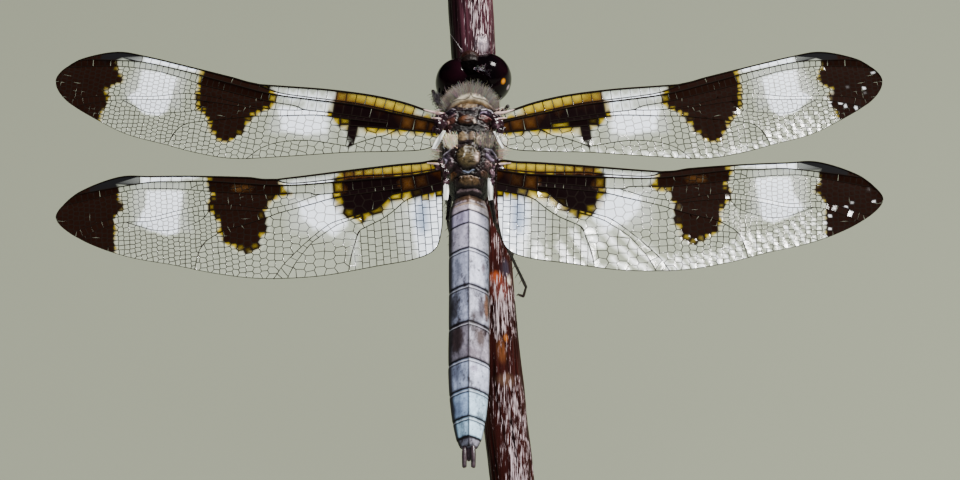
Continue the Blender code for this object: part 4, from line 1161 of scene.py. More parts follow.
stops = ((0.35, (0.72, 0.72, 0.74)), (0.62, (1.08, 1.08, 1.08)))
waxed_shell = grained_material("waxed_shell", 2200.0, 5.0, 0.7, stops, 0.8, (0.35, 0.00008), IOR=1.3)[0]
segments = ["abdomen_%d" % number for number in range(1, 11)]
finish_piece("abdomen_skin", form, INSECT, [waxed_shell], segments)

# Claspers and the plate between them, at the abdomen's tip: dark, straight and blunt.
stops = ((0.35, (0.012, 0.008, 0.01)), (0.7, (0.045, 0.028, 0.035)))
dark_shell = grained_material("dark_shell", 1800.0, 4.0, 0.6, stops, None, (0.3, 0.00006), Roughness=0.3)[0]


def smooth_path(knots, steps=6):
    """A smooth path through knots of (place, radius)."""
    rows = smooth_curve([(*place, radius) for place, radius in knots], steps)
    return [(Vector(row[:3]), max(float(row[3]), 0.01)) for row in rows]


def mirrored_path(knots, side):
    """A smooth path for one side from knots given for the right."""
    return smooth_path([((side * x, y, z), radius) for (x, y, z), radius in knots])


CLASPER = (((0.45, -37.2, 0.3), 0.26), ((0.5, -38.2, 0.34), 0.3), ((0.51, -39.2, 0.33), 0.28),
        ((0.5, -39.8, 0.3), 0.26), ((0.48, -39.95, 0.28), 0.14))
LOWER_CLASPER = (((0.0, -37.2, -0.4), 0.4), ((0.0, -38.0, -0.4), 0.38), ((0.0, -38.6, -0.36), 0.3),
        ((0.0, -38.85, -0.3), 0.12))
for side_name, side in SIDES.items():
    form = bmesh.new()
    add_tubes(form, [mirrored_path(CLASPER, side)], 8)
    solid = "cercus_" + side_name
    finish_piece("clasper_" + side_name, form, INSECT, [dark_shell], [solid])
form = bmesh.new()
add_tubes(form, [smooth_path(LOWER_CLASPER)], 8)
finish_piece("lower_clasper", form, INSECT, [dark_shell], ["epiproct"])

# ---------------------------------------------------------------------------------------------
# Legs: three pairs of black, glossy, spined legs. The fore pair is folded behind the eyes; the
# others clasp the twig with two hooked claws on each foot.
# ---------------------------------------------------------------------------------------------
GAP = 0.2
FEMUR_RADII = (0.36, 0.42, 0.4, 0.3)
TIBIA_RADII = (0.27, 0.29, 0.27, 0.26)
TARSUS_RADIUS = 0.25
TO_INSECT = INSECT.inverted() @ TWIG


def grip(z, angle_from_front):
    """A place on the bark for a foot, in the insect's frame."""
    angle = math.radians(angle_from_front)
    reach = TWIG_RADIUS + TARSUS_RADIUS + 0.13
    return TO_INSECT @ (twig_axis(z) + Vector((math.sin(angle), -math.cos(angle), 0.0)) * reach)


LEGS = []
for side_name, side in SIDES.items():
    right = side > 0
    knee = Vector((4.0, 5.4, -0.6) if right else (-3.75, 6.5, 0.9))
    ankle = Vector((3.4, 6.3, -4.4) if right else (-3.1, 6.8, -4.1))
    foot = [ankle + Vector((-side * 0.7, 0.3, -0.5)), ankle + Vector((-side * 1.8, 0.3, -0.7))]
    LEGS.append(("leg_fore_" + side_name, (side * 1.3, 4.5, -5.7), knee, ankle, foot, side))
    knee = TO_INSECT @ Vector((4.3, -2.2, -3.2) if right else (-3.4, -2.2, -3.2))
    ankle = TO_INSECT @ Vector((5.4, -0.9, -9.5) if right else (-1.6, -1.0, -9.3))
    foot = [grip(-11.2, side * 95.0), grip(-12.5, side * 118.0)]
    LEGS.append(("leg_middle_" + side_name, (side * 1.6, 2.6, -6.0), knee, ankle, foot, side))
    knee = TO_INSECT @ Vector((3.0, -5.8, -8.3) if right else (-2.5, -5.5, -8.0))
    ankle = TO_INSECT @ Vector((6.6, -2.5, -15.8) if right else (-0.9, -2.2, -15.5))
    heel = TO_INSECT @ Vector((6.3, -1.7, -16.9)) if right else grip(-16.6, -85.0)
    foot = [heel, grip(*((-16.7, 92.0) if right else (-16.9, -115.0)))]
    LEGS.append(("leg_hind_" + side_name, (side * 1.8, 1.0, -6.0), knee, ankle, foot, side))


def spines(start, end, radius, length, count, out, spread, dice):
    """Two rows of thin spines along a leg, leaning towards its end."""
    paths = []
    way = (end - start).normalized()
    across = way.cross(out).normalized()
    for row in (-1.0, 1.0):
        for index in range(count):
            share = (index + 0.6 + 0.3 * (row > 0)) / (count + 0.4)
            lean = (out + across * row * spread).normalized()
            foot = start.lerp(end, min(share, 0.98)) + lean * radius * 0.7
            tip = foot + (lean + way * 0.8).normalized() * length * dice.uniform(0.8, 1.1)
            paths.append([(foot, 0.055), (foot.lerp(tip, 0.5), 0.035), (tip, 0.008)])
    return paths


stops = ((0.4, (0.006, 0.005, 0.006)), (0.75, (0.03, 0.02, 0.018)))
leg_black = grained_material("leg_black", 1500.0, 4.0, 0.6, stops, None, (0.25, 0.00005), Roughness=0.24,
        Coat_Weight=0.4)[0]
THIGH_KNOTS = ((0.0, 0.3), (0.08, 0.35), (0.3, 0.38), (0.65, 0.33), (0.92, 0.23), (1.02, 0.26), (1.05, 0.14))
SHIN_KNOTS = ((-0.05, 0.14), (0.02, 0.22), (0.3, 0.19), (0.7, 0.17), (0.98, 0.19), (1.04, 0.12))
for name, hip, knee, ankle, foot, side in LEGS:
    dice = random.Random(name)
    hip = Vector(hip)
    way = (knee - hip).normalized()
    thigh_end = knee - way * GAP
    shin = (ankle - knee).normalized()
    if shin.angle(-way) < math.radians(45.0):
        beside = (shin + way * shin.dot(-way)).normalized()
        shin_start = knee + beside * (FEMUR_RADII[1] + TIBIA_RADII[1] + GAP)
    else:
        shin_start = knee + shin * (FEMUR_RADII[-1] + GAP)
    shin_end = ankle - shin * GAP
    under = (Vector((0.0, 0.0, -1.0)) + shin * shin.z).normalized()
    parts = (("_thigh", "_femur", hip, thigh_end, THIGH_KNOTS, (0.4, 0.5, 9, under, 0.6)),
            ("_shin", "_tibia", shin_start, shin_end, SHIN_KNOTS, (0.25, 1.0, 8, under, 0.8)))
    for part, solid, start, end, knots, rows in parts:
        form = bmesh.new()
        add_tubes(form, [smooth_path([(start.lerp(end, share), radius) for share, radius in knots], 5)], 10)
        add_tubes(form, spines(start, end, *rows, dice), 4)
        finish_piece(name + part, form, INSECT, [leg_black], [name + solid])
    form = bmesh.new()
    heel, toe = foot
    first = ankle + (heel - ankle).normalized() * (TIBIA_RADII[-1] + GAP)
    knots = ((ankle, 0.12), (first, 0.15), (first.lerp(heel, 0.8), 0.17), (heel, 0.13),
            (heel.lerp(toe, 0.1), 0.17), (heel.lerp(toe, 0.6), 0.16), (toe, 0.1))
    add_tubes(form, [smooth_path(knots, 4)], 8)
    end = (toe - heel).normalized()
    for spread in (-1.0, 1.0):
        aside = end.cross(under).normalized() * spread
        claw = ((toe - end * 0.05, 0.09), (toe + aside * 0.12 + end * 0.1, 0.07),
                (toe + aside * 0.2 + end * 0.16, 0.02))
        add_tubes(form, [smooth_path(claw, 3)], 6)
    finish_piece(name + "_foot", form, INSECT, [leg_black], [name + "_tarsus"])


# ---------------------------------------------------------------------------------------------
# Thorax: the box of flight muscles, made of many shell plates with sunken seams. Bare bulges
# shine, the pads behind them are dull and hairy, and the hinges of the wings stand at its sides.
# ---------------------------------------------------------------------------------------------
# Rings from front to rear: place along the body, half width, top and bottom.
THORAX_RINGS = ((5.35, 1.5, 0.9, -3.1), (5.0, 2.4, 2.5, -4.3), (4.2, 3.0, 3.6, -5.0), (2.8, 3.35, 4.2, -5.4),
        (0.8, 3.5, 4.35, -5.5), (-1.4, 3.5, 4.25, -5.1), (-3.4, 3.2, 4.2, -4.3), (-4.6, 2.6, 3.8, -3.3),
        (-5.6, 2.1, 3.3, -2.5), (-6.7, 1.9, 2.2, -1.4))
THORAX_MIDDLE_Z = -0.4
SIDE_SEAMS = (-1.6, 0.6, 2.8)
SEAM_COLOUR = (0.003, 0.002, 0.002)
# Plates on the back: place across and along, half sizes, rise, colour and gloss.
BACK_PLATES = (
    (-0.2, 3.95, 1.2, 0.42, 0.06, (0.13, 0.085, 0.045), 0.2),
    (-2.2, 3.1, 0.85, 0.55, 0.34, (0.010, 0.006, 0.010), 1.0),
    (2.1, 3.1, 1.0, 0.58, 0.34, (0.014, 0.008, 0.015), 1.0),
    (-0.2, 2.95, 1.0, 0.3, -0.15, (0.003, 0.002, 0.003), 0.0),
    (-2.15, 1.9, 0.75, 0.5, 0.2, (0.05, 0.018, 0.014), 0.9),
    (2.0, 2.15, 0.95, 0.4, 0.2, (0.05, 0.016, 0.014), 0.9),
    (-0.35, 1.9, 1.0, 0.6, 0.22, (0.035, 0.013, 0.006), 0.5),
    (-0.6, 2.0, 0.45, 0.3, 0.04, (0.07, 0.024, 0.008), 0.4),
    (0.0, 0.85, 2.2, 0.42, -0.14, (0.003, 0.002, 0.002), 0.0),
    (-2.65, 1.0, 0.7, 0.5, 0.18, (0.022, 0.009, 0.009), 0.9),
    (2.5, 1.0, 0.8, 0.55, 0.18, (0.022, 0.009, 0.009), 0.9),
    (-0.75, -0.25, 0.62, 0.6, 0.08, (0.09, 0.062, 0.034), 0.6),
    (0.6, -0.25, 0.75, 0.6, 0.09, (0.13, 0.09, 0.06), 0.6),
    (-2.0, -0.75, 0.66, 0.9, 0.24, (0.40, 0.33, 0.24), 0.4),
    (1.75, -0.7, 1.1, 0.72, 0.24, (0.40, 0.33, 0.25), 0.4),
    (-0.1, -2.65, 1.38, 1.42, 0.32, (0.058, 0.042, 0.020), 0.75),
    (-2.75, -2.5, 0.75, 0.65, 0.28, (0.05, 0.036, 0.05), 1.0),
    (-2.35, -3.5, 0.6, 0.5, 0.24, (0.06, 0.035, 0.04), 1.0),
    (2.6, -2.35, 0.8, 0.7, 0.28, (0.05, 0.036, 0.05), 1.0),
    (2.3, -3.6, 0.6, 0.65, 0.24, (0.06, 0.035, 0.035), 1.0),
    (2.65, -2.0, 0.3, 0.22, -0.3, (0.003, 0.002, 0.004), 0.6),
    (0.0, -4.45, 1.0, 0.3, -0.12, (0.004, 0.003, 0.003), 0.5),
    (-1.9, -4.7, 0.55, 0.4, 0.12, (0.07, 0.03, 0.012), 0.8),
    (1.85, -4.6, 0.55, 0.4, 0.12, (0.05, 0.026, 0.018), 0.8),
    (0.05, -5.45, 1.3, 0.5, 0.16, (0.075, 0.045, 0.022), 0.7),
)
# Sunken dark seams on the back, as short runs of places.
BACK_SEAMS = (
    ((-1.5, 3.35), (-1.2, 2.5), (-1.55, 1.6), (-0.9, 1.2), (0.3, 1.15), (0.95, 1.7), (0.9, 2.5),
        (1.2, 3.35)),
    ((-3.0, 0.45), (-1.4, 0.38), (0.1, 0.4), (1.6, 0.38), (3.0, 0.45)),
    ((-1.35, 0.2), (-1.4, -1.0), (-0.1, -1.15), (0.7, -0.9), (0.75, 0.2)),
    ((-0.1, 0.25), (-0.15, -1.1)),
    ((-0.1, -1.3), (-1.5, -1.95), (-1.6, -3.3), (-0.9, -4.15), (0.7, -4.15), (1.45, -3.3), (1.4, -1.95),
        (-0.1, -1.3)),
    ((-2.0, -4.95), (0.0, -4.85), (2.0, -4.95)),
    ((-2.0, -6.05), (0.0, -6.0), (2.0, -6.05)),
)
# Thin raised ridges: a run of places, its width, its height and its colour. The whitish, pink and
# lilac colours are painted highlights along the crests; the brown ones are the shell's own lines.
BACK_RIDGES_AND_HIGHLIGHTS = (
    (((-0.45, -1.6), (-0.5, -2.95)), 0.06, 0.05, (0.75, 0.7, 0.6)),
    (((0.95, -2.45), (0.9, -3.3)), 0.17, 0.06, (0.62, 0.46, 0.40)),
    (((-2.75, 3.5), (-2.2, 3.62), (-1.6, 3.45)), 0.06, 0.06, (0.5, 0.47, 0.56)),
    (((1.5, 3.3), (2.0, 3.5), (2.6, 3.4), (2.95, 3.1)), 0.08, 0.07, (0.72, 0.68, 0.78)),
    (((1.35, 2.75), (2.0, 2.85)), 0.07, 0.05, (0.3, 0.22, 0.34)),
    (((-2.9, 2.55), (-2.1, 2.5), (-1.5, 2.7)), 0.06, 0.06, (0.26, 0.14, 0.15)),
    (((1.4, 2.5), (2.3, 2.45), (3.0, 2.2)), 0.06, 0.06, (0.3, 0.12, 0.14)),
    (((-2.8, 2.1), (-2.4, 1.9), (-2.4, 1.6)), 0.09, 0.08, (0.5, 0.3, 0.27)),
    (((0.75, 1.6), (0.6, 1.9)), 0.11, 0.05, (0.62, 0.5, 0.42)),
    (((-2.1, -1.5), (-2.5, -1.9), (-2.9, -2.0)), 0.09, 0.1, (0.5, 0.44, 0.5)),
    (((-3.1, -2.3), (-2.6, -2.9), (-3.0, -3.3)), 0.08, 0.1, (0.36, 0.3, 0.4)),
    (((-2.1, -2.8), (-1.9, -3.4)), 0.07, 0.08, (0.4, 0.32, 0.36)),
    (((1.9, -1.75), (2.6, -1.55), (3.2, -1.9), (3.3, -2.4)), 0.08, 0.1, (0.55, 0.5, 0.62)),
    (((1.95, -2.3), (2.5, -2.75), (3.1, -2.9)), 0.08, 0.1, (0.46, 0.36, 0.5)),
    (((2.0, -3.3), (2.6, -3.4), (2.9, -3.9)), 0.09, 0.08, (0.42, 0.27, 0.27)),
    (((-0.7, -4.3), (0.0, -4.55), (0.6, -4.35)), 0.05, 0.05, (0.26, 0.3, 0.42)),
    (((-1.1, -5.0), (0.0, -4.95), (1.1, -5.1)), 0.05, 0.04, (0.3, 0.22, 0.16)),
    (((-1.4, -6.3), (0.0, -6.25), (1.4, -6.3)), 0.09, 0.04, (0.20, 0.14, 0.15)),
)


def run_distance(x, y, run):
    """Distance from a place to a run of straight lines."""
    best = 1e9
    for (ax, ay), (bx, by) in zip(run, run[1:]):
        length = (bx - ax) ** 2 + (by - ay) ** 2
        share = min(max(((x - ax) * (bx - ax) + (y - ay) * (by - ay)) / length, 0.0), 1.0)
        best = min(best, math.hypot(x - ax - share * (bx - ax), y - ay - share * (by - ay)))
    return best


def shaken(x, y):
    """A place on the back moved a little, so that no plate has an even outline."""
    return (x + 0.16 * ripple(x * 1.5, y * 1.5, 3.0),
            y + 0.16 * ripple(x * 1.5, y * 1.5, 9.0))


def crack_at(x, y):
    """How deep a fine winding crack runs at a place of the back, from 0 to 1."""
    lines = abs(ripple(x * 1.7, y * 1.7, 21.0))
    finer = abs(ripple(x * 3.6, y * 3.6, 33.0))
    return max(bell(lines, 0.05), 0.7 * bell(finer, 0.07))


def side_seam(y, z):
    """Distance to the nearest of the slanting seams that divide the sides into plates."""
    return min((y - offset - 0.55 * (z + 1.0) for offset in SIDE_SEAMS), key=abs)


def thorax_place(turn, way):
    """A place on the thorax; the turn starts underneath and the way runs from front to rear."""
    y = THORAX_RINGS[0][0] + (THORAX_RINGS[-1][0] - THORAX_RINGS[0][0]) * way
    angle = -0.5 * math.pi + turn * 2.0 * math.pi
    shrink = 0.6 if way in (0.0, 1.0) else 1.0
    sizes = [size * shrink for size in (*table_at(THORAX_RINGS, y), THORAX_MIDDLE_Z)]
    x, z = superellipse(angle, *sizes, 2.7, 2.3)
    out = Vector((x, 0.0, z - THORAX_MIDDLE_Z)).normalized()
    reach = -0.1
    if z > 1.0 and shrink == 1.0:
        px, py = shaken(x, y)
        for *plate, rise, _, _ in BACK_PLATES:
            reach += rise * max(0.0, 1.0 - spot_distance(px, py, *plate) ** 2) ** 0.5
        for run in BACK_SEAMS:
            reach -= 0.14 * bell(run_distance(px, py, run), 0.09)
        for run, width, height, _ in BACK_RIDGES_AND_HIGHLIGHTS:
            reach += height * bell(run_distance(px, py, run), width)
        # The shell is lumpy beside the rear pad.
        lumpy = max(0.0, 1.0 - spot_distance(abs(x), y, 2.7, -2.9, 1.1, 1.6))
        reach += 0.22 * lumpy * ripple(x * 2.4, y * 2.4, 4.0)
    if z < 2.8 and shrink == 1.0:
        reach -= 0.16 * bell(side_seam(y, z), 0.12)
    reach += 0.05 * ripple(x * 1.6, y * 1.6, z * 1.6)
    reach += 0.06 * ripple(x * 4.5, y * 4.5, z * 4.5) - 0.09 * crack_at(x, y) * min(abs(y + 0.7), 1.0)
    return Vector((x, y, z)) + out * reach


form = bmesh.new()
rolled_skin(form, 240, 200, thorax_place)
tint = form.verts.layers.float_color.new("tint")
shine = form.verts.layers.float.new("shine")
for vert in form.verts:
    x, y, z = vert.co
    mottled = 0.6 * ripple(x * 1.3, y * 1.3, z * 1.3) + 0.7 * ripple(x * 3.7, y * 3.7, 5.0)
    colour = np.array((0.014, 0.008, 0.009)) * (1.0 + 0.5 * mottled)
    gloss = 0.7
    if z > 1.6:
        px, py = shaken(x, y)
        for *plate, _, shell, polish in BACK_PLATES:
            share = 1.0 - ease(spot_distance(px, py, *plate), 0.78, 1.06)
            colour = mixed(colour, np.array(shell) * (1.0 + 0.7 * mottled), share)
            gloss = mixed(gloss, polish, share)
        # Painted shade darkens the fine winding cracks.
        colour = mixed(colour, SEAM_COLOUR, 0.8 * crack_at(x, y) * ease(abs(y + 0.7), 0.6, 1.1))
        for run in BACK_SEAMS:
            colour = mixed(colour, SEAM_COLOUR, 0.9 * bell(run_distance(px, py, run), 0.11))
        # Painted highlights along the ridges, broken up by noise.
        broken = np.clip(0.65 + 0.6 * ripple(x * 4.0, y * 4.0, 2.0), 0.0, 1.0)
        for run, width, _, pale in BACK_RIDGES_AND_HIGHLIGHTS:
            colour = mixed(colour, pale, broken * bell(run_distance(px, py, run), width))
    if z < 2.6:
        # The sides are brown and hairy in front, and nearly black behind the forewings.
        low = ease(-z, -2.6, -1.2)
        flank = mixed(np.array((0.006, 0.005, 0.008)), (0.085, 0.055, 0.034), ease(y, -3.4, -1.6))
        colour = mixed(colour, flank * (1.0 + 0.7 * mottled), low)
        gloss = mixed(gloss, 0.35, low)
        colour = mixed(colour, (0.005, 0.004, 0.003), 0.9 * low * bell(side_seam(y, z), 0.16))
    vert[tint] = (*np.maximum(colour, 0.002), 1.0)
    vert[shine] = gloss
stops = ((0.35, (0.5, 0.48, 0.46)), (0.65, (1.2, 1.18, 1.15)))
relief = (0.7, 0.00016)
thorax_shell, tree, shader = grained_material("thorax_shell", 1600.0, 5.0, 0.65, stops, 0.8, relief, IOR=1.3)
feed(shader, Roughness=span_node(tree, layer(tree, "shine"), 0.2, 1.0, 0.55, 0.14))
finish_piece("thorax_skin", form, INSECT, [thorax_shell], ["thorax"])

# Collar: the soft front slope of the thorax behind the head, cream to tan, with fine dark lines
# that meet in a peak at the middle.
COLLAR_MIDDLE = Vector((0.15, 5.05, 2.2))
COLLAR_RADII = (2.9, 1.0, 1.7)
COLLAR_SLOPE = 0.15
COLLAR_LINES = (
    ((0.23, 6.5), (0.0, 6.05), (-0.455, 5.8), (-1.33, 5.75), (-2.08, 5.4), (-2.7, 4.9)),
    ((0.23, 6.5), (0.4, 6.1), (0.79, 5.95), (1.66, 5.8), (2.41, 5.35), (3.04, 4.7)),
)


def collar_place(way):
    """A place on the collar in the direction of a unit vector; its ends slope back."""
    soft = 1.0 + 0.05 * noise.noise(way * 3.0)
    place = Vector([a * b * soft for a, b in zip(way, COLLAR_RADII)])
    place.y -= COLLAR_SLOPE * place.x ** 2
    return place + COLLAR_MIDDLE


def level_of(place):
    """How high a place of the collar stands, seen along the back."""
    tilt = BODY_LEAN - TWIG_LEAN
    return place.y * math.cos(tilt) + place.z * math.sin(tilt)


form = bmesh.new()
bmesh.ops.create_icosphere(form, subdivisions=6, radius=1.0)
tint = form.verts.layers.float_color.new("tint")
shine = form.verts.layers.float.new("shine")
for vert in form.verts:
    vert.co = collar_place(vert.co)
    x = vert.co.x
    level = level_of(vert.co)
    pale = ease(level + 0.16 * (x - 0.2) ** 2, 5.3, 6.2)
    tan = mixed(np.array((0.20, 0.115, 0.045)), (0.27, 0.24, 0.18), pale)
    # Both ends are darkened with painted shade.
    tan = mixed(tan, (0.05, 0.035, 0.03), ease(abs(x - 0.2), 1.5, 2.6))
    tan = tan * (1.0 + 0.5 * noise.noise(vert.co * 2.2))
    dark = 0.9 * bell(min(run_distance(x, level, run) for run in COLLAR_LINES), 0.06)
    vert[tint] = (*mixed(tan, (0.01, 0.006, 0.005), dark), 1.0)
    vert[shine] = 0.15
finish_piece("collar", form, INSECT, [thorax_shell])

# Hinges of the four wings: small dark glossy lumps, and pale pinkish rods that run out into the
# wings' front edges.
knob_shell, tree, shader = new_material("knob_shell", Roughness=0.16, IOR=1.35)
blotch = place_grain(tree, per_metre(1100.0), 4.0, 0.6)[1]
# The palest flecks of the grain are pinkish painted highlights on the dark lumps.
stops = ((0.4, (0.006, 0.003, 0.004)), (0.56, (0.022, 0.010, 0.013)), (0.66, (0.16, 0.10, 0.12)))
feed(shader, Base_Color=ramp_node(tree, blotch, stops))
HINGE_LUMPS = (
    ((3.25, 1.5, 3.95), (0.7, 0.75, 0.42)), ((3.7, 0.75, 3.75), (0.5, 0.5, 0.36)),
    ((2.9, 2.25, 4.15), (0.5, 0.35, 0.26)), ((3.35, 2.3, 3.9), (0.5, 0.35, 0.3)),
    ((3.3, -4.1, 3.7), (0.75, 0.6, 0.42)), ((3.65, -4.9, 3.55), (0.5, 0.5, 0.34)),
    ((2.8, -4.7, 3.75), (0.5, 0.5, 0.3)), ((3.6, 0.1, 3.5), (0.42, 0.45, 0.3)),
    ((3.3, -3.3, 3.85), (0.4, 0.35, 0.25)), ((2.7, -5.6, 3.3), (0.45, 0.5, 0.25)),
)
form = bmesh.new()
for side in SIDES.values():
    for (x, y, z), radii in HINGE_LUMPS:
        spot = Vector((x * side, y, z))
        for vert in bmesh.ops.create_icosphere(form, subdivisions=4, radius=1.0)["verts"]:
            shape = 1.0 + 0.4 * noise.noise(vert.co * 1.8 + spot) + 0.12 * noise.noise(vert.co * 5.0 + spot)
            vert.co = vert.co * Vector(radii) * shape + spot
finish_piece("wing_hinges", form, INSECT, [knob_shell])
ROOT_RODS = (
    (((2.9, 2.75, 3.9), 0.14), ((3.3, 2.65, 4.1), 0.2), ((4.0, 2.8, 4.1), 0.16), ((5.2, 3.25, 3.95), 0.06)),
    (((3.1, 1.95, 4.15), 0.1), ((3.6, 2.0, 4.15), 0.14), ((4.3, 2.15, 4.0), 0.06)),
    (((3.0, -3.75, 3.95), 0.12), ((3.6, -3.7, 4.0), 0.15), ((4.8, -3.55, 3.95), 0.06)),
)
stops = ((0.35, (0.16, 0.09, 0.08)), (0.65, (0.5, 0.36, 0.33)))
pale_rod = grained_material("pale_rod", 1300.0, 3.0, 0.6, stops, Roughness=0.3)[0]
form = bmesh.new()
for side in SIDES.values():
    add_tubes(form, [mirrored_path(rod, side) for rod in ROOT_RODS], 8)
finish_piece("wing_root_rods", form, INSECT, [pale_rod])

# Root membranes: folded white skins that close the gap between each wing's rear edge and the
# body; those of the forewings are slanting strips, those of the hindwings are narrow leaves.
ROOT_SKINS = (
    ((-2.6, 0.35, 4.4), (-3.1, 0.4, 4.25), (-4.35, -1.75, 3.95), (-3.75, -1.8, 4.0), 0.12, 0.96),
    ((2.75, 0.25, 4.35), (3.0, 0.35, 4.2), (4.05, -1.6, 3.95), (3.75, -1.75, 3.95), 0.1, 0.9),
    ((3.0, 0.3, 4.1), (4.2, 0.1, 3.95), (4.3, -1.9, 3.9), (4.0, -1.7, 3.9), 0.1, 0.12),
    ((-2.4, -5.1, 3.35), (-3.0, -5.3, 3.3), (-2.95, -7.8, 3.1), (-2.35, -7.9, 3.1), 0.18, 0.97),
    ((2.1, -5.1, 3.35), (2.65, -5.3, 3.3), (2.75, -7.8, 3.1), (2.2, -7.9, 3.1), 0.18, 0.97),
)
form = bmesh.new()
tint = form.verts.layers.float_color.new("tint")
hide = form.verts.layers.float.new("cover")
for front_in, front_out, rear_out, rear_in, belly, solid in ROOT_SKINS:
    skin = bmesh.ops.create_grid(form, x_segments=14, y_segments=30, size=0.5)["verts"]
    for vert in skin:
        across = vert.co.x + 0.5
        along = vert.co.y + 0.5
        inner = Vector(front_in).lerp(Vector(rear_in), along)
        outer = Vector(front_out).lerp(Vector(rear_out), along)
        bulge = math.sin(math.pi * across) * math.sin(math.pi * min(along + 0.05, 1.0))
        place = inner.lerp(outer, 0.5 + (across - 0.5) * (0.75 + 0.45 * math.sin(math.pi * along)))
        pleat = ripple(across * 3.2, along * 1.1, place.x)
        place.z += belly * bulge + 0.12 * pleat
        vert.co = place
        # The skins are paler on the crests of the folds and darker in the troughs: painted light and shade.
        pale = 0.2 + 0.6 * ease(pleat, -0.3, 0.3)
        vert[tint] = (pale, pale, pale * 0.95, 1.0)
        vert[hide] = solid
bmesh.ops.recalc_face_normals(form, faces=form.faces[:])
bmesh.ops.solidify(form, geom=form.faces[:], thickness=0.04)
finish_piece("wing_root_skins", form, INSECT, [membrane])

# ---------------------------------------------------------------------------------------------
# Head: two huge eyes that meet on top, a small reddish brow and a pale face in front, and a
# matt black back with a curl of white hair. The eyes are smooth, nearly black and very glossy.
# ---------------------------------------------------------------------------------------------
HEAD_TURN = Matrix.Rotation(math.radians(9.0), 4, "Z") @ Matrix.Rotation(math.radians(-3.0), 4, "Y")
HEAD = INSECT @ Matrix.Translation((0.5, 8.9, 0.0)) @ HEAD_TURN
eye_shell, tree, shader = new_material("eye_shell", Roughness=0.1, IOR=1.22)
stops = ((0.42, (0.0014, 0.0008, 0.0012)), (0.7, (0.0055, 0.0012, 0.0024)))
colour = place_grain(tree, per_metre(350.0), 2.0, 0.6, stops)[0]
# An amber spot on the right eye and, at its edge, a pale fleck that is a painted highlight: middle, radius,
# softness, colour.
EYE_SPOT_AND_HIGHLIGHT = (((3.15, -1.55, 1.9), 0.36, 0.14, (0.75, 0.27, 0.005, 1.0)),
        ((3.78, -1.89, 0.62), 0.26, 0.16, (0.4, 0.3, 0.32, 1.0)))
for middle, radius, soft, mark in EYE_SPOT_AND_HIGHLIGHT:
    place = add_node(tree, "TexCoord", {}).outputs["Object"]
    away = add_node(tree, "VectorMath", {0: place, 1: (HEAD @ Vector(middle)) * MM}, operation="DISTANCE")
    inside = span_node(tree, away.outputs["Value"], (radius + soft) * MM, (radius - soft) * MM)
    colour = mix_node(tree, inside, colour, mark)
feed(shader, Base_Color=colour)
facets = add_node(tree, "TexVoronoi", {"Vector": mapped(tree, per_metre(9000.0)), "Scale": 1.0})
bump(shader, facets.outputs["Distance"], 0.12, 0.00003)
for side_name, side in SIDES.items():
    form = bmesh.new()
    bmesh.ops.create_uvsphere(form, u_segments=72, v_segments=48, radius=1.0)
    bmesh.ops.scale(form, vec=(2.7, 2.8, 3.35), verts=form.verts)
    bmesh.ops.translate(form, vec=(side * 1.72, -0.15, 0.15), verts=form.verts)
    trim(form, (side * 0.05, 0.0, 0.0), (-side, 0.0, 0.0))
    finish_piece("eye_dome_" + side_name, form, HEAD, [eye_shell], ["eye_" + side_name])

# Head capsule: the parts between and below the eyes, each with its middle, radii and colour.
FACE_PARTS = (
    ((0.0, 0.1, -0.6), (3.2, 2.65, 3.1), (0.006, 0.004, 0.005)),
    ((0.0, 2.1, 0.8), (1.3, 1.3, 1.5), (0.014, 0.004, 0.003)),
    ((-0.1, 1.1, 2.2), (1.3, 1.15, 1.1), (0.004, 0.0015, 0.001)),
    ((0.0, 2.35, -0.75), (1.5, 1.0, 1.1), (0.24, 0.15, 0.07)),
    ((0.0, 1.8, -2.15), (2.0, 1.45, 1.55), (0.05, 0.03, 0.02)),
)
form = bmesh.new()
tint = form.verts.layers.float_color.new("tint")
for centre, radii, colour in FACE_PARTS:
    for vert in bmesh.ops.create_uvsphere(form, u_segments=48, v_segments=32, radius=1.0)["verts"]:
        shape = 0.97 + 0.05 * noise.noise(vert.co * 4.0 + Vector(centre))
        vert.co = vert.co * Vector(radii) * shape + Vector(centre)
        vert[tint] = (*colour, 1.0)
stops = ((0.35, (0.4, 0.4, 0.4)), (0.65, (1.3, 1.3, 1.3)))
face_shell = grained_material("face_shell", 1600.0, 4.0, 0.6, stops, 0.8, (0.4, 0.0001), IOR=1.25)[0]
finish_piece("head_capsule", form, HEAD, [face_shell], ["head", "mouthparts"])
stops = ((0.4, (0.0006, 0.0004, 0.0004)), (0.7, (0.002, 0.0015, 0.0015)))
matt = {"Roughness": 1.0, "IOR": 1.0}
nape_velvet = grained_material("nape_velvet", 3500.0, 4.0, 0.6, stops, None, (0.5, 0.0001), **matt)[0]
NAPE_PARTS = (((0.1, -1.45, 1.85), (2.3, 1.75, 1.55)), ((-0.3, 0.2, 2.55), (1.5, 1.2, 1.1)))
form = bmesh.new()
for centre, radii in NAPE_PARTS:
    for vert in bmesh.ops.create_icosphere(form, subdivisions=5, radius=1.0)["verts"]:
        vert.co = vert.co * Vector(radii) * (1.0 + 0.1 * noise.noise(vert.co * 2.0)) + Vector(centre)
finish_piece("nape", form, HEAD, [nape_velvet])
form = bmesh.new()
for vert in bmesh.ops.create_uvsphere(form, u_segments=40, v_segments=24, radius=1.0)["verts"]:
    folds = 1.0 + 0.05 * math.sin(vert.co.y * 9.0)
    vert.co = vert.co * Vector((1.45 * folds, 0.85, 1.85 * folds)) + Vector((0.15, 6.4, -1.2))
finish_piece("neck_plate", form, INSECT, [dark_shell], ["prothorax"])
FEELER = (((0.75, 3.3, 1.1), 0.16), ((0.85, 3.6, 1.2), 0.16), ((0.95, 3.85, 1.28), 0.08),
        ((1.2, 4.5, 1.35), 0.035), ((1.75, 5.7, 1.3), 0.02))
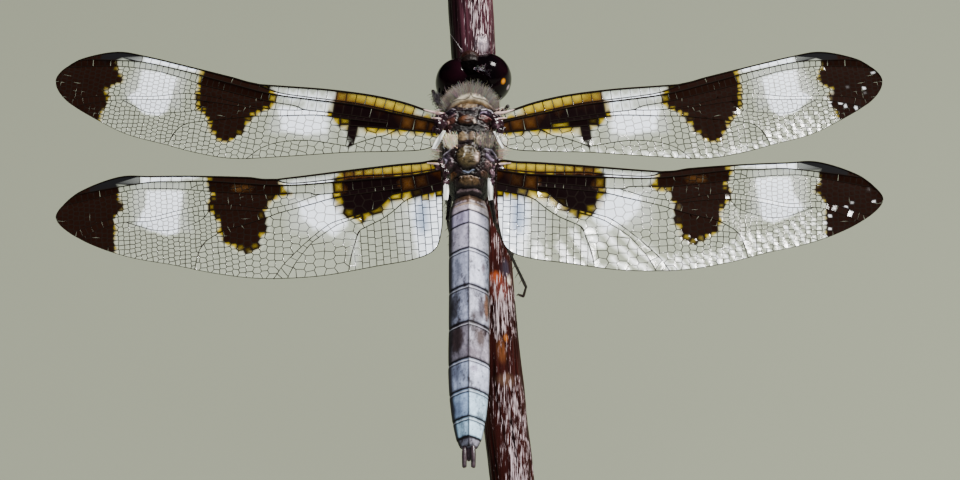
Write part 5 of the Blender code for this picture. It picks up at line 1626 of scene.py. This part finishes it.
for side_name, side in SIDES.items():
    form = bmesh.new()
    add_tubes(form, [mirrored_path(FEELER, side)], 8)
    finish_piece("feeler_" + side_name, form, HEAD, [dark_shell], ["antenna_" + side_name])

# ---------------------------------------------------------------------------------------------
# Hair: soft pale tufts on the front, sides and underside of the thorax, on its pads and on the
# back of the head. Each hair is a thin curved cone rooted in the shell, coloured by its tuft.
# ---------------------------------------------------------------------------------------------
stops = ((0.35, (0.7, 0.7, 0.7)), (0.65, (1.1, 1.1, 1.1)))
hair_soft = grained_material("hair_soft", 2500.0, 2.0, 0.6, stops, 1.0)[0]
# Tufts: middle, spread, direction, how far the hairs fan out, length, number and colour.
TUFTS = (
    ((0.1, 5.7, 0.6), (2.5, 0.4, 1.6), (0.0, 0.9, 0.4), 0.1, 1.0, 450, (0.3, 0.27, 0.23)),
    ((-3.3, 1.4, 0.3), (0.4, 3.2, 2.0), (-1.0, 0.1, 0.2), 0.0, 1.1, 450, (0.16, 0.13, 0.11)),
    ((3.3, 1.4, 0.3), (0.4, 3.2, 2.0), (1.0, 0.1, 0.2), 0.0, 1.1, 450, (0.16, 0.13, 0.11)),
    ((-2.1, -0.8, 4.25), (0.8, 0.9, 0.1), (-0.3, 0.6, 1.0), 0.1, 0.45, 330, (0.8, 0.68, 0.5)),
    ((1.9, -0.7, 4.25), (1.3, 0.9, 0.1), (0.1, 0.9, 1.0), 0.1, 0.45, 400, (0.85, 0.72, 0.54)),
    ((0.0, 0.5, -4.6), (2.4, 3.5, 0.6), (0.0, 0.0, -1.0), 0.0, 1.0, 300, (0.2, 0.17, 0.14)),
    ((1.15, 8.8, 3.35), (0.55, 0.25, 0.25), (0.6, -0.4, 1.0), 0.5, 0.65, 80, (0.7, 0.66, 0.64)),
    ((1.95, 8.35, 3.25), (0.4, 0.4, 0.25), (0.8, -0.4, 1.0), 0.5, 0.6, 50, (0.5, 0.46, 0.46)),
    # This near-black tuft, on the left only, is hair coloured with painted shade.
    ((-3.6, 5.9, 1.2), (0.3, 0.7, 0.9), (-0.8, 0.3, 0.6), 0.1, 0.7, 120, (0.03, 0.02, 0.03)),
)
FRINGE_HAIRS = 1700
dice = random.Random(5)
paths = []
roots = []
tones = []


def scatter(amount):
    """A small random move in every direction."""
    return Vector([dice.gauss(0.0, amount) for _ in range(3)])


def add_hair(root, lean, length, curl, thickest, depth):
    """Root one hair in the shell; it bends at random and thins towards its tip."""
    lean.normalize()
    reach = length * dice.uniform(0.55, 1.15)
    bend = scatter(curl) * reach
    thick = dice.uniform(0.014, thickest)
    paths.append([(root - lean * depth, thick), (root + lean * reach * 0.5 + bend * 0.2, thick * 0.8),
            (root + lean * reach + bend, thick * 0.25)])
    roots.append(root)


# The collar's own fringe fans out from its upper front, whitish, darkened at the left end with painted
# shade.
while len(paths) < FRINGE_HAIRS:
    way = Vector((dice.uniform(-1.0, 1.0), dice.uniform(0.05, 1.0), dice.uniform(-0.3, 0.9))).normalized()
    root = collar_place(way)
    if level_of(root) < 6.1 - 0.2 * (root.x - 0.2) ** 2 + dice.gauss(0.0, 0.12):
        continue
    across = (root.x - 0.2) / 2.6
    lean = Vector((0.85 * across, 0.75, 0.45)) + scatter(0.16)
    add_hair(root, lean, 1.35 - 0.3 * abs(across - 0.1), 0.12, 0.024, 0.15)
    left = ease(-across + dice.gauss(0.0, 0.12), 0.4, 0.75)
    tones.append(mixed(np.array((0.88, 0.9, 0.8)), (0.06, 0.04, 0.055), left) * dice.uniform(0.6, 1.1))
for middle, spread, direction, fan, length, count, shade in TUFTS:
    for _ in range(count):
        offset = Vector([s * max(min(dice.gauss(0.0, 0.5), 1.0), -1.0) for s in spread])
        lean = Vector(direction).normalized() + offset * fan + scatter(0.2)
        add_hair(Vector(middle) + offset, lean, length, 0.16, 0.026, 0.25)
        tones.append([part * dice.uniform(0.6, 1.2) for part in shade])
form = bmesh.new()
per_hair = len(add_tubes(form, paths, 4)) // len(paths)
tint = form.verts.layers.float_color.new("tint")
coat = form.loops.layers.uv.new("OFBake")
form.verts.index_update()
for vert in form.verts:
    vert[tint] = (*tones[vert.index // per_hair], 1.0)
# The bake picture is laid out by where each hair is rooted, round the body and along it.
HAIR_PATCH = 0.003
UV_REACH = 0.99
for face in form.faces:
    root = roots[face.verts[0].index // per_hair]
    u = (math.atan2(root.x, root.z + 0.5) / (2.0 * math.pi) + 0.5) * UV_REACH
    v = (root.y + 8.0) / 20.0 * UV_REACH
    for corner, (du, dv) in zip(face.loops, ((0, 0), (1, 0), (1, 1), (0, 1))):
        corner[coat].uv = (u + du * HAIR_PATCH, v + dv * HAIR_PATCH)
finish_piece("hair_tufts", form, INSECT, [hair_soft])

# ---------------------------------------------------------------------------------------------
# Stand: a turned walnut disc and a short brass post with a flange at each end, screwed to the
# disc below and to the twig's level cut above.
# ---------------------------------------------------------------------------------------------
BASE_RADIUS = 30.0
BASE_THICKNESS = 4.0
BASE_ROUNDING = 1.2
ROUNDING_STEPS = 8
PILLAR_RADIUS = 1.3
PILLAR_FLANGE_RADIUS = 2.9
STAND_GAP = 0.3


def turned(profile, steps, middle=(0.0, 0.0)):
    """A solid of revolution about an upright line from a profile of (radius, height)."""
    form = bmesh.new()
    verts = [form.verts.new((radius, 0.0, height)) for radius, height in profile]
    edges = [form.edges.new(pair) for pair in zip(verts, verts[1:])]
    bmesh.ops.spin(form, geom=verts + edges, cent=(0.0, 0.0, 0.0), axis=(0.0, 0.0, 1.0),
            angle=2.0 * math.pi, steps=steps, use_merge=True)
    bmesh.ops.remove_doubles(form, verts=form.verts, dist=1e-4)
    bmesh.ops.recalc_face_normals(form, faces=form.faces[:])
    bmesh.ops.translate(form, vec=(middle[0], middle[1], 0.0), verts=form.verts)
    return form


walnut, tree, shader = new_material("walnut", Roughness=0.36, Coat_Weight=0.25)
inputs = {"Vector": mapped(tree, per_metre(6.0, 60.0, 40.0)), "Scale": 1.0, "Distortion": 7.0, "Detail": 3.0,
        "Detail Scale": 0.8}
years = add_node(tree, "TexWave", inputs, bands_direction="Y").outputs["Fac"]
stops = ((0.1, (0.06, 0.028, 0.014)), (0.55, (0.12, 0.06, 0.03)), (0.95, (0.19, 0.10, 0.052)))
wood = ramp_node(tree, years, stops)
stops = ((0.38, (0.5, 0.48, 0.46)), (0.55, (1.0, 1.0, 1.0)))
colour, pores = place_grain(tree, per_metre(120.0, 2600.0, 2600.0), 4.0, 0.6, stops, wood, 0.85)
feed(shader, Base_Color=colour)
bump(shader, pores, 0.3, 0.0001)
inner = BASE_RADIUS - BASE_ROUNDING
profile = [(0.0, BASE_THICKNESS), (BASE_RADIUS * 0.5, BASE_THICKNESS), (inner, BASE_THICKNESS)]
for step in range(1, ROUNDING_STEPS + 1):
    angle = 0.5 * math.pi * (1.0 - step / ROUNDING_STEPS)
    level = BASE_THICKNESS - BASE_ROUNDING + BASE_ROUNDING * math.sin(angle)
    profile.append((inner + BASE_ROUNDING * math.cos(angle), level))
profile += [(BASE_RADIUS, 0.4), (BASE_RADIUS - 0.12, 0.12), (BASE_RADIUS - 0.4, 0.0),
        (BASE_RADIUS * 0.5, 0.0), (0.0, 0.0)]
finish_piece("stand_disc", turned(profile, 128), Matrix.Identity(4), [walnut], ["stand_base"])
brass, tree, shader = new_material("brass", Metallic=1.0)
stops = ((0.35, (0.55, 0.38, 0.15)), (0.65, (0.78, 0.57, 0.26)))
colour, turning = place_grain(tree, per_metre(200.0, 200.0, 6000.0), 3.0, 0.6, stops)
feed(shader, Base_Color=colour, Roughness=span_node(tree, turning, 0.35, 0.65, 0.34, 0.18))
bump(shader, turning, 0.2, 0.00003)
low = BASE_THICKNESS + STAND_GAP
high = TWIG_CUT_HEIGHT - STAND_GAP
pillar_low, pillar_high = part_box("stand_pillar")
pillar_middle = (pillar_low + pillar_high) * 0.5 / MM
rod = PILLAR_RADIUS
rim = PILLAR_FLANGE_RADIUS
profile = [(0.0, high), (rim - 0.25, high), (rim - 0.07, high - 0.07), (rim, high - 0.25),
        (rim, high - 0.75), (rim - 0.1, high - 0.88), (rod + 0.5, high - 1.15), (rod + 0.12, high - 1.4),
        (rod, high - 1.7), (rod, low + 1.9), (rod + 0.15, low + 1.5), (rod + 0.6, low + 1.2),
        (rim + 0.45, low + 0.9), (rim + 0.6, low + 0.75), (rim + 0.6, low), (0.0, low)]
post = turned(profile, 64, pillar_middle[:2])
finish_piece("stand_post", post, Matrix.Identity(4), [brass], ["stand_pillar"])
